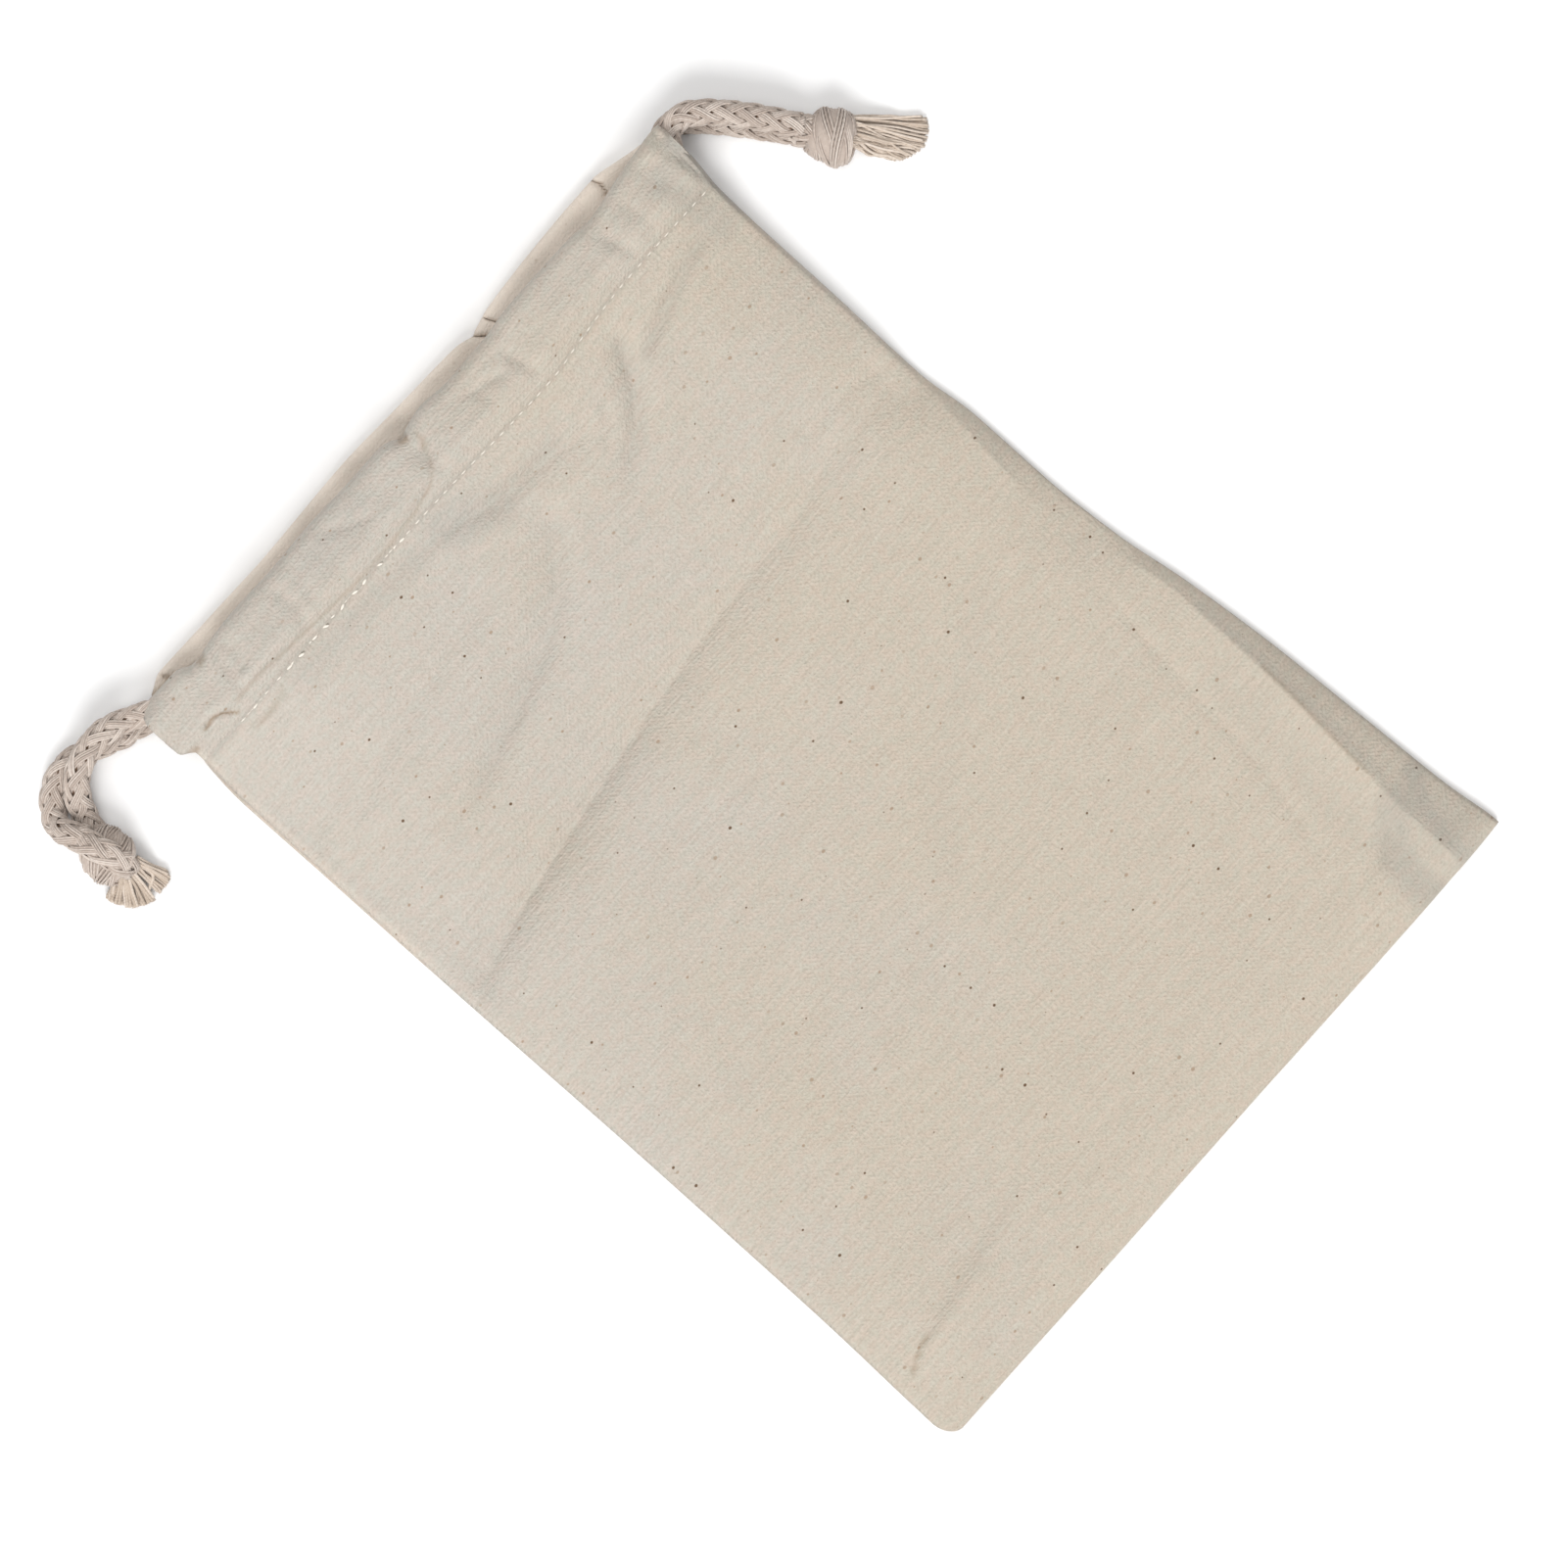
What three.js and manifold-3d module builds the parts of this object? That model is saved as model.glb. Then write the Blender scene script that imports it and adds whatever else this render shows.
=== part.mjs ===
// A small drawstring bag of unbleached cotton, lying empty and flat with its mouth a little open.
// Millimetres, +Z up. +Y points to the mouth and +X to the side whose seam is folded in.
// The origin is on the surface under the middle of the bag.

import * as THREE from 'three';
import { mergeVertices } from 'three/addons/utils/BufferGeometryUtils.js';
import Module from 'manifold-3d';

const wasm = await Module();
wasm.setup();

// Driving dimensions
const cloth = 1.0;            // thickness of one layer of cloth
const gap = 0.3;              // space between pieces that touch
const cordWide = 5.0;         // a drawstring where it lies free
const pressedWide = 4.5;      // the same cord inside a casing
const pressedHigh = 2.6;
const bore = pressedHigh + 2 * gap;              // height inside a casing
const casingHigh = bore + 2 * cloth;             // a casing from outside to outside
const mouthGap = 4.4;                            // how far the two casings stand apart
const frontLow = casingHigh + gap;               // underside of the front casing at its ends
const frontHigh = casingHigh + mouthGap;         // and in the middle of the mouth
const slotLeft = -57.8;                          // beyond these the casing's inner layer stops,
const slotRight = 49.5;                          // and leaves room for the cord to turn back
const noseEndRight = 66;                         // the front mouth edge is open past this
const edgeRound = 1.3;                           // how far the mouth edge rounds over, above and below
const cornerRadius = 3.2;                        // the rounded lower corner on the -X side
const bottomEdge = -102.3;

// The cloth's outline, a row for each height up the bag. Left and right are the front panel's edges,
// crease is the line where it steps down to the side seam, and backLeft and backRight are the back panel's.
const outline = [
  { y: -103, left: -76.3, crease: 66.5, right: 76.2, backLeft: -76.3, backRight: 76.2 },
  { y: -90, left: -75.9, crease: 66.8, right: 75.0, backLeft: -75.9, backRight: 75.1 },
  { y: -70, left: -75.1, crease: 67.7, right: 74.2, backLeft: -75.1, backRight: 74.2 },
  { y: -50, left: -74.7, crease: 68.7, right: 73.4, backLeft: -74.7, backRight: 73.5 },
  { y: -30, left: -74.4, crease: 69.0, right: 71.8, backLeft: -74.4, backRight: 71.9 },
  { y: -14, left: -74.2, crease: 66.4, right: 69.8, backLeft: -74.3, backRight: 69.8 },
  { y: 2, left: -74.1, crease: 65.0, right: 69.0, backLeft: -74.2, backRight: 69.0 },
  { y: 20, left: -74.0, crease: 66.1, right: 69.2, backLeft: -74.1, backRight: 69.2 },
  { y: 33, left: -73.7, crease: 66.6, right: 68.2, backLeft: -74.0, backRight: 68.2 },
  { y: 55, left: -73.2, crease: 67.3, right: 68.8, backLeft: -73.7, backRight: 68.8 },
  { y: 75, left: -72.8, crease: 67.6, right: 69.2, backLeft: -73.5, backRight: 69.2 },
  { y: 84, left: -72.2, crease: 67.8, right: 69.6, backLeft: -72.6, backRight: 69.4 },
  { y: 87.6, left: -71.9, crease: 68.2, right: 70.1, backLeft: -72.0, backRight: 69.6 },
  { y: 89.6, left: -74.2, crease: 68.4, right: 70.4, backLeft: -72.4, backRight: 69.8 },
  { y: 94, left: -74.3, crease: 68.8, right: 70.9, backLeft: -72.4, backRight: 69.6 },
  { y: 97, left: -74.1, crease: 69.0, right: 71.0, backLeft: -71.6, backRight: 68.2 },
  { y: 99, left: -73.3, crease: 69.0, right: 70.9, backLeft: -70.4, backRight: 66.4 },
  { y: 102.6, left: -71.2, crease: 69.0, right: 70.7, backLeft: -68.6, backRight: 64.0 },
];

// The edges that run across the bag: the bottom, the stitch line that closes the front casing,
// and the two mouth edges.
const acrossBag = [
  { x: -76, bottom: 1.5, stitch: 84.9, frontMouth: 100.2, backMouth: 101.2 },
  { x: -66, bottom: 1.4, stitch: 84.9, frontMouth: 99.9, backMouth: 102.3 },
  { x: -58, bottom: 1.3, stitch: 84.9, frontMouth: 98.4, backMouth: 102.1 },
  { x: -38, bottom: 1.0, stitch: 84.9, frontMouth: 98.9, backMouth: 101.7 },
  { x: -16, bottom: 0.8, stitch: 84.6, frontMouth: 98.5, backMouth: 102.0 },
  { x: -4, bottom: 0.7, stitch: 84.2, frontMouth: 97.6, backMouth: 101.6 },
  { x: 8, bottom: 0.6, stitch: 83.5, frontMouth: 97.8, backMouth: 100.9 },
  { x: 20, bottom: 0.4, stitch: 83.2, frontMouth: 97.5, backMouth: 100.2 },
  { x: 28, bottom: 0.3, stitch: 84.0, frontMouth: 97.7, backMouth: 101.0 },
  { x: 42, bottom: 0.1, stitch: 84.9, frontMouth: 97.8, backMouth: 101.7 },
  { x: 57, bottom: 0.0, stitch: 84.8, frontMouth: 97.7, backMouth: 101.8 },
  { x: 66, bottom: 0.1, stitch: 84.6, frontMouth: 98.6, backMouth: 99.5 },
  { x: 76, bottom: 0.9, stitch: 84.6, frontMouth: 98.8, backMouth: 99.0 },
];

// The underside of the front panel above the surface, along its middle and along its side seams,
// with the length over which one rises to the other, and the seam's own lift off the surface.
const loft = [
  { y: -103, middle: 1.3, side: 1.3, rise: 8, seam: 0 },
  { y: -92, middle: 2.9, side: 1.3, rise: 9, seam: 0 },
  { y: -60, middle: 3.4, side: 1.3, rise: 10, seam: 0 },
  { y: -20, middle: 3.8, side: 1.3, rise: 12, seam: 0 },
  { y: 15, middle: 4.6, side: 1.3, rise: 14, seam: 0 },
  { y: 38, middle: 5.8, side: 1.4, rise: 17, seam: 0.1 },
  { y: 58, middle: 7.6, side: 1.6, rise: 20, seam: 0.3 },
  { y: 74, middle: 9.2, side: 2.1, rise: 24, seam: 0.6 },
  { y: 83, middle: 9.7, side: 2.8, rise: 26, seam: 0.6 },
  { y: 88, middle: frontHigh, side: 5.2, rise: 26, seam: 0.2 },
  { y: 89.4, middle: frontHigh, side: frontLow, rise: 26, seam: 0 },
  { y: 103, middle: frontHigh, side: frontLow, rise: 26, seam: 0 },
];

// Folds of the front panel. Each runs from one end to the other with a bow between them.
// Depth is how far the cloth sinks at the line, and near and far are the widths of its two flanks,
// towards the bottom of the bag and towards its mouth.
const folds = [
  { name: 'main fold', x0: -76, y0: 17, x1: 66, y1: 36, bow: 4.5, depth: 0.9, near: 9, far: 15 },
  { name: 'middle trough', x0: -46, y0: 44, x1: 22, y1: 68, bow: -2.0, depth: 0.6, near: 11, far: 12 },
  { name: 'trough below the casing', x0: 18, y0: 60, x1: 40, y1: 82, bow: -2.5, depth: 0.6, near: 7, far: 7 },
  { name: 'side wrinkle', x0: 38, y0: 75, x1: 64, y1: 81, bow: 0.6, depth: 0.5, near: 5, far: 4 },
  { name: 'corner crease', x0: -74, y0: -88, x1: -30, y1: -80, bow: 1.5, depth: 0.6, near: 5, far: 6 },
  { name: 'corner trough', x0: 60, y0: -102, x1: 60, y1: -84, bow: 0, depth: 0.7, near: 4, far: 4 },
];

// Smooth value of one column of a table, at a place along another column.
function tableValue(rows, along, column, at) {
  const last = rows.length - 1;
  let k = 0;
  while (k < last - 1 && at > rows[k + 1][along]) k += 1;
  const here = rows[k];
  const next = rows[k + 1];
  const before = rows[Math.max(k - 1, 0)];
  const after = rows[Math.min(k + 2, last)];
  const run = next[along] - here[along];
  const t = THREE.MathUtils.clamp((at - here[along]) / run, 0, 1);
  const slopeHere = limitedSlope(before, here, next, along, column) * run;
  const slopeNext = limitedSlope(here, next, after, along, column) * run;
  const a = here[column];
  const b = next[column];
  const cubic = 2 * a - 2 * b + slopeHere + slopeNext;
  const square = 3 * b - 3 * a - 2 * slopeHere - slopeNext;
  return ((cubic * t + square) * t + slopeHere) * t + a;
}

// Slope at the middle one of three rows, zero at a peak so that the curve never overshoots the table.
function limitedSlope(before, here, after, along, column) {
  if (before === here || here === after) return 0;
  const first = (here[column] - before[column]) / (here[along] - before[along]);
  const second = (after[column] - here[column]) / (after[along] - here[along]);
  if (first * second <= 0) return 0;
  return 2 * first * second / (first + second);
}

const smooth = (from, to, at) => THREE.MathUtils.smoothstep(at, from, to);
const mix = THREE.MathUtils.lerp;

// A closed solid from rings of points, each ring one closed section of the piece.
function loftSections(rings) {
  const count = rings[0].length;
  const positions = [];
  const index = [];
  rings.forEach((ring) => ring.forEach((p) => positions.push(p.x, p.y, p.z)));
  for (let i = 0; i + 1 < rings.length; i += 1) {
    for (let j = 0; j < count; j += 1) {
      const k = (j + 1) % count;
      const a = i * count + j;
      const b = i * count + k;
      index.push(a, b, b + count, a, b + count, a + count);
    }
  }
  const last = (rings.length - 1) * count;
  capFaces(rings[0]).forEach(([a, b, c]) => index.push(a, c, b));
  capFaces(rings[rings.length - 1]).forEach(([a, b, c]) => index.push(last + a, last + b, last + c));
  const geometry = new THREE.BufferGeometry();
  geometry.setAttribute('position', new THREE.Float32BufferAttribute(positions, 3));
  geometry.setIndex(index);
  return outward(geometry);
}

// The faces that close one end ring, worked out in the plane that it lies in.
function capFaces(ring) {
  const normal = new THREE.Vector3();
  ring.forEach((p, j) => normal.add(new THREE.Vector3().crossVectors(p, ring[(j + 1) % ring.length])));
  normal.normalize();
  const across = new THREE.Vector3().subVectors(ring[1], ring[0]);
  across.addScaledVector(normal, -across.dot(normal)).normalize();
  const up = new THREE.Vector3().crossVectors(normal, across);
  const flat = ring.map((p) => new THREE.Vector2(p.dot(across), p.dot(up)));
  return THREE.ShapeUtils.triangulateShape(flat, []);
}

// Turns every face round if the shape's volume comes out negative.
function outward(geometry) {
  const p = geometry.getAttribute('position');
  const index = geometry.getIndex().array;
  const corner = [0, 1, 2].map(() => new THREE.Vector3());
  let volume = 0;
  for (let i = 0; i < index.length; i += 3) {
    corner.forEach((v, k) => v.fromBufferAttribute(p, index[i + k]));
    volume += corner[0].dot(corner[1].clone().cross(corner[2]));
  }
  if (volume < 0) {
    for (let i = 0; i < index.length; i += 3) {
      [index[i + 1], index[i + 2]] = [index[i + 2], index[i + 1]];
    }
  }
  return geometry;
}

function toSolid(geometry) {
  const bare = geometry.clone();
  bare.deleteAttribute('normal');
  bare.deleteAttribute('uv');
  const merged = mergeVertices(bare, 1e-4);
  return new wasm.Manifold(new wasm.Mesh({
    numProp: 3,
    vertProperties: new Float32Array(merged.getAttribute('position').array),
    triVerts: new Uint32Array(merged.getIndex().array),
  }));
}

function toGeometry(solid) {
  const mesh = solid.getMesh();
  const geometry = new THREE.BufferGeometry();
  geometry.setAttribute('position', new THREE.BufferAttribute(new Float32Array(mesh.vertProperties), 3));
  geometry.setIndex(new THREE.BufferAttribute(new Uint32Array(mesh.triVerts), 1));
  geometry.computeVertexNormals();
  return geometry;
}

// The depth of all folds at one place of the front panel.
function foldDepth(x, y) {
  let depth = 0;
  folds.forEach((fold) => {
    const run = new THREE.Vector2(fold.x1 - fold.x0, fold.y1 - fold.y0);
    const from = new THREE.Vector2(x - fold.x0, y - fold.y0);
    const along = from.dot(run) / run.lengthSq();
    if (along <= 0 || along >= 1) return;
    const bow = 4 * fold.bow * along * (1 - along);
    const off = run.clone().normalize().cross(from) - bow;
    const width = off < 0 ? fold.near : fold.far;
    const flank = Math.max(0, 1 - Math.abs(off) / width);
    const fade = smooth(0, 0.18, along) * smooth(0, 0.18, 1 - along);
    depth += fold.depth * fade * flank * flank;
  });
  return depth;
}

// Beyond the crease the cloth drops to the side seam. Low down it drops at once, within the first
// part of the strip, and higher up it slopes evenly.
const stepWide = 0.2;
const stepFoot = 0.12;

// Height of the underside of the front panel.
function frontUnderside(x, y) {
  const left = tableValue(outline, 'y', 'left', y);
  const crease = tableValue(outline, 'y', 'crease', y);
  const right = tableValue(outline, 'y', 'right', y);
  const middle = tableValue(loft, 'y', 'middle', y);
  const side = tableValue(loft, 'y', 'side', y);
  const rise = tableValue(loft, 'y', 'rise', y);
  const fromLeft = THREE.MathUtils.clamp((x - left) / rise, 0, 1);
  let share = fromLeft * (2 - fromLeft);
  if (x > crease) {
    const beyond = Math.min(1, (x - crease) / (right - crease));
    const onStep = mix(1, stepFoot, beyond / stepWide);
    const pastStep = mix(stepFoot, 0, (beyond - stepWide) / (1 - stepWide));
    const step = beyond < stepWide ? onStep : pastStep;
    const slope = 1 - beyond;
    share = creaseShare(y) * mix(step, slope, smooth(-24, -12, y));
  } else {
    const fromCrease = THREE.MathUtils.clamp((crease - x) / rise, 0, 1);
    share = Math.min(share, mix(creaseShare(y), 1, fromCrease * (2 - fromCrease)));
  }
  return side + (middle - side) * share - foldDepth(x, y) * smooth(0.1, 0.7, share);
}

// How much of the full height is left at the crease: most of it below, little at the casing.
function creaseShare(y) {
  return mix(0.62, 0.12, smooth(20, 70, y));
}

// One layer below the stitches, two at them, and a round casing above.
function casingThickness(above, below) {
  if (above < -1.2) return cloth;
  const seam = mix(cloth, 2 * cloth, smooth(-1.2, -0.2, above));
  const open = smooth(-0.2, 2.0, above);
  return mix(seam, casingHigh, open) - edgeRound * (1 - smooth(0, 2.0, below));
}

// Places across the panel as shares of its width, and rows up the bag.
const shares = [0, 0.012, 0.03, 0.06, 0.1, 0.15, 0.21, 0.28, 0.36, 0.44, 0.52, 0.6, 0.68, 0.76, 0.83,
  0.89, 0.94, 0.975];
const beyondCrease = [0, 0.2, 0.6, 1];
const bottomRows = [0, 0.5, 1.6, cornerRadius, 6, 10, 14];
const bodyRows = [-82, -74, -64, -54, -44, -34, -24, -14, -4, 6, 14, 20, 25, 30, 35, 41, 47, 53, 59, 65,
  71, 77];
const casingRows = [-1.2, -0.2, 0.6, 1.6, 3.2, 5.5, 8];
const mouthRows = [3.6, 2.0, 0.9, 0.2];

// Where the rows lie on the column that meets the bottom edge at x.
function rowsUp(x, stitch, mouth, middleRows) {
  const bottom = bottomEdge + tableValue(acrossBag, 'x', 'bottom', x);
  const rows = bottomRows.map((rise) => bottom + rise);
  rows.push(...middleRows);
  rows.push(...casingRows.map((rise) => stitch + rise));
  rows.push(...mouthRows.map((drop) => mouth - drop));
  return rows;
}

// How far the rounded lower corner pulls the left edge in.
function cornerPull(y, bottom) {
  const rise = cornerRadius - (y - bottom);
  if (rise <= 0) return 0;
  return cornerRadius - Math.sqrt(Math.max(0, cornerRadius ** 2 - rise ** 2));
}

// The columns of a panel, from its left edge to its right one.
const columns = [
  ...shares.map((share) => ({ share, beyond: 0 })),
  ...beyondCrease.map((beyond) => ({ share: 1, beyond })),
];

function frontX(column, y) {
  const bottom = bottomEdge + acrossBag[0].bottom;
  const left = tableValue(outline, 'y', 'left', y) + cornerPull(y, bottom);
  const crease = tableValue(outline, 'y', 'crease', y);
  const right = tableValue(outline, 'y', 'right', y);
  return column.share < 1 ? mix(left, crease, column.share) : mix(crease, right, column.beyond);
}

// A panel: its cloth goes up over the casing, turns in at the mouth edge and comes back down inside
// to the stitch line, so that one solid holds the panel and its hem. The front panel's hem is its
// lower layer and the back panel's is its upper one.
function panelSolid(panel) {
  const rings = [];
  columns.forEach((column) => {
    const guess = panel.edgeX(column, 0);
    const stitch = panel.stitchAt(guess);
    const mouth = panel.mouthAt(guess);
    const place = (y, height) => {
      const x = panel.edgeX(column, y);
      return new THREE.Vector3(x, y, panel.underside(x, y) + height);
    };
    const rows = rowsUp(guess, stitch, mouth, panel.rows);
    const top = rows.map((y) => place(y, casingThickness(y - stitch, mouth - y)));
    const nose = place(mouth, 0.5 * casingHigh);
    const under = rows.map((y) => place(y, edgeRound * (1 - smooth(0, 2.0, mouth - y)))).reverse();
    rings.push([...top, nose, ...under]);
  });
  let solid = toSolid(loftSections(rings));
  solid = solid.subtract(boreSolid(panel));
  panel.slots.forEach((slot) => {
    solid = solid.subtract(slotSolid(panel, slot));
  });
  return solid;
}

// The inside of a casing in section: where it opens past the stitches, and where it starts to close
// under the mouth edge and ends.
const boreStart = 1.0;
const boreRises = [boreStart, 1.5, 2.2, 5.0];
const boreCloses = 2.6;
const boreEnds = 1.1;
const boreNarrow = 0.9;
const fromMouth = 5;          // any distance at which the mouth edge's rounding is over

// Height of a casing's inner face under its outer layer, above the panel's underside.
const boreRoof = (rise) => casingThickness(rise, fromMouth) - cloth;

// The way through a casing, open at both ends of it.
function boreSolid(panel) {
  const rings = boreStations.map((x) => {
    const stitch = panel.stitchAt(x);
    const mouth = panel.mouthAt(x);
    const place = (y, height) => new THREE.Vector3(x, y, panel.underside(x, y) + height);
    const low = boreRises.map((rise) => place(stitch + rise, cloth));
    low.push(place(mouth - boreCloses, cloth));
    low.push(place(mouth - boreEnds, cloth + boreNarrow));
    const high = boreRises.map((rise) => place(stitch + rise, boreRoof(rise)));
    high.push(place(mouth - boreCloses, casingHigh - cloth));
    high.push(place(mouth - boreEnds, casingHigh - cloth - boreNarrow));
    return [...low, ...high.reverse()];
  });
  return toSolid(loftSections(rings));
}

// The open end of a casing: the hem is cut away there, and the mouth edge too where noMouthEdge is set.
const slotBend = 1.5;         // the slot follows the outer layer until this far from the mouth edge
const slotPast = 2;           // and reaches this far past the cloth where it leaves it

function slotSolid(panel, slot) {
  const rings = slot.stations.map((x) => {
    const stitch = panel.stitchAt(x);
    const mouth = panel.mouthAt(x);
    const end = slot.noMouthEdge ? mouth + slotPast : mouth - 0.9 * slotBend;
    const place = (y, height) => new THREE.Vector3(x, y, panel.underside(x, y) + height);
    const past = panel.hemBelow ? -slotPast : casingHigh + slotPast;
    const inner = (rise) => (panel.hemBelow ? boreRoof(rise) : cloth);
    const lip = slot.noMouthEdge ? casingHigh - edgeRound - cloth : inner(fromMouth);
    return [
      place(stitch + boreStart, past), place(end, past), place(end, lip),
      place(mouth - slotBend, inner(fromMouth)), place(stitch + 2 * boreStart, inner(2 * boreStart)),
      place(stitch + boreStart, inner(boreStart)),
    ];
  });
  return toSolid(loftSections(rings));
}

const boreStations = [-82, -74, -70, -66, -62, -58, -54, -48, -38, -27, -16, -4, 8, 20, 28, 36, 42, 46,
  50, 54, 58, 62, 66, 69, 80];

const frontShape = {
  edgeX: frontX,
  stitchAt: (x) => tableValue(acrossBag, 'x', 'stitch', x),
  mouthAt: (x) => tableValue(acrossBag, 'x', 'frontMouth', x),
  underside: frontUnderside,
  rows: bodyRows,
  hemBelow: true,
  slots: [
    { stations: [-80, -74, -70, -65, slotLeft], noMouthEdge: true },
    { stations: [slotRight, 54, 58, 62, noseEndRight + 1], noMouthEdge: false },
    { stations: [noseEndRight, 69, 80], noMouthEdge: true },
  ],
};

// The back panel lies flat on the surface, with its side seams a little off it near the casing.
const backStitch = 87.6;
const backRows = [-70, -40, -10, 20, 45, 65, 76, 83];

function backX(column, y) {
  const bottom = bottomEdge + acrossBag[0].bottom;
  const left = tableValue(outline, 'y', 'backLeft', y) + cornerPull(y, bottom);
  const right = tableValue(outline, 'y', 'backRight', y);
  const crease = right - 8;
  return column.share < 1 ? mix(left, crease, column.share) : mix(crease, right, column.beyond);
}

function backUnderside(x, y) {
  const left = tableValue(outline, 'y', 'backLeft', y);
  const right = tableValue(outline, 'y', 'backRight', y);
  const toEdge = Math.max(0, Math.min(x - left, right - x));
  return tableValue(loft, 'y', 'seam', y) * (1 - smooth(0, 6, toEdge));
}

const backShape = {
  edgeX: backX,
  stitchAt: () => backStitch,
  mouthAt: (x) => tableValue(acrossBag, 'x', 'backMouth', x),
  underside: backUnderside,
  rows: backRows,
  hemBelow: false,
  slots: [
    { stations: [-80, -74, -70, -65, slotLeft], noMouthEdge: false },
    { stations: [slotRight, 54, 58, 62, 66, 69, 80], noMouthEdge: false },
  ],
};

// Routes of the two drawstrings, from one knotted end to the other. Each goes through the front
// casing, turns back under the far end of the cloth and comes out again through the back casing.
// The left one's first end lies over its second, and the right one's first end lies on its second.
const leftRoute = [
  [-95.6, 91.6, 2.6], [-94.9, 94.4, 2.6], [-93.9, 96.6, 3.0], [-92.8, 98.4, 4.5], [-91.2, 100.0, 6.1],
  [-88.4, 101.8, 7.5], [-84.8, 102.8, 8.0], [-81.0, 102.8, 8.1], [-77.4, 101.8, 7.9], [-74.0, 100.0, 7.8],
  [-70.5, 97.8, 8.7], [-66.0, 95.6, 10.3], [-61.0, 94.2, 11.2], [-52.0, 93.9, 12.0], [-36.0, 93.9, 12.2],
  [-8.0, 93.9, 12.2], [20.0, 93.9, 12.2], [40.0, 93.9, 12.2], [49.0, 93.9, 11.9], [53.4, 93.9, 10.8],
  [55.8, 94.1, 7.2], [53.6, 95.9, 3.8], [49.0, 96.5, 2.6], [36.0, 96.5, 2.6], [6.0, 96.5, 2.6],
  [-26.0, 96.5, 2.6], [-56.0, 96.5, 2.6], [-66.0, 96.8, 2.6], [-71.0, 97.7, 2.6], [-75.0, 98.7, 2.6],
  [-79.0, 100.2, 2.6], [-84.0, 102.5, 2.6], [-88.5, 103.9, 2.6], [-92.3, 103.8, 2.6], [-95.5, 102.3, 2.6],
  [-98.0, 99.9, 2.7], [-99.1, 97.6, 3.9], [-98.9, 95.9, 5.6], [-98.2, 94.3, 6.4], [-97.2, 92.4, 6.2],
];
const rightRoute = [
  [88.2, 79.4, 6.6], [87.0, 81.5, 7.5], [85.0, 85.0, 7.9], [82.4, 89.2, 7.9], [79.4, 93.2, 7.9],
  [76.4, 96.3, 7.9], [73.4, 97.3, 7.9], [71.0, 96.4, 8.0], [68.6, 93.9, 8.5], [65.8, 91.2, 8.9],
  [62.0, 89.4, 9.6], [56.0, 88.9, 10.9], [46.0, 88.6, 12.1], [20.0, 88.6, 12.2], [-8.0, 88.6, 12.2],
  [-36.0, 88.6, 12.2], [-51.0, 88.7, 12.1], [-57.5, 89.1, 11.6], [-62.5, 89.7, 10.5], [-67.2, 90.2, 9.3],
  [-69.3, 90.8, 6.3], [-67.2, 91.2, 3.3], [-64.0, 91.2, 2.6], [-52.0, 91.2, 2.6], [-26.0, 91.2, 2.6],
  [6.0, 91.2, 2.6], [34.0, 91.2, 2.6], [54.0, 91.2, 2.6], [61.0, 91.6, 2.6], [64.6, 93.2, 2.6],
  [67.6, 95.4, 2.6], [70.2, 97.5, 2.6], [72.6, 97.9, 2.6], [75.0, 96.3, 2.6], [78.4, 92.4, 2.6],
  [82.0, 87.2, 2.6], [85.2, 82.2, 2.6], [87.2, 79.2, 2.6],
];

// A cord along a route, or the stretch of it between two of its steps. It is round where it lies
// free and pressed flat inside the casings. Extra makes it that much larger all round.
function cordSolid(route, isFree, extra = 0, firstStep = 0, lastStep = stepsOf(route)) {
  const curve = new THREE.CatmullRomCurve3(route.map((p) => new THREE.Vector3(...p)), false, 'centripetal');
  const steps = stepsOf(route);
  const sides = 8;
  const side = new THREE.Vector3();
  const rings = [];
  for (let i = firstStep; i <= lastStep; i += 1) {
    const t = i / steps;
    const centre = curve.getPoint(t);
    const along = curve.getTangent(t);
    if (i === 0) centre.addScaledVector(along, -extra);
    if (i === steps) centre.addScaledVector(along, extra);
    const level = new THREE.Vector3(-along.y, along.x, 0);
    if (i === firstStep) side.copy(level);
    if (Math.abs(along.z) < 0.6) side.copy(level.multiplyScalar(Math.sign(level.dot(side)) || 1));
    side.addScaledVector(along, -side.dot(along)).normalize();
    const up = new THREE.Vector3().crossVectors(along, side);
    const free = isFree(centre.x);
    const wide = 0.5 * mix(pressedWide, cordWide, free) + extra;
    const high = 0.5 * mix(pressedHigh, cordWide, free) + extra;
    const ring = [];
    for (let k = 0; k < sides; k += 1) {
      const turn = 2 * Math.PI * (k + 0.5) / sides;
      const p = centre.clone().addScaledVector(side, wide * Math.cos(turn));
      ring.push(p.addScaledVector(up, high * Math.sin(turn)));
    }
    rings.push(ring);
  }
  return toSolid(loftSections(rings));
}

// A cord has two steps for each point of its route.
function stepsOf(route) {
  return 2 * (route.length - 1);
}

const leftFree = (x) => smooth(75.2, 79, -x);
const rightFree = (x) => smooth(71.2, 75, x);

// Knots: both ends of a drawstring tied in one overhand knot. The cord's wraps are drawn tight on
// each other, and the ends below are frayed into loose yarns that lie on the surface. From and to are
// the directions of the fan's two sides, first, middle and last are yarn lengths across it, and split
// is the share of a yarn's length at which it comes out from under the knot.
const knots = [
  { name: 'knot_left', x: -97.0, y: 87.3, turn: 8, route: leftRoute, isFree: leftFree,
    yarns: 15, rootX: -96.4, rootY: 84.2, from: 196, to: 300,
    first: 7.4, middle: 9.2, last: 8.4, split: 0.42 },
  { name: 'knot_right', x: 90.2, y: 74.4, turn: -28, route: rightRoute, isFree: rightFree,
    yarns: 14, rootX: 92.0, rootY: 73.0, from: -75, to: -40,
    first: 10.4, middle: 15.2, last: 16.0, split: 0.5 },
];
const knotWide = 10.4;
const knotLong = 11.6;
const knotHigh = 9.2;
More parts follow.
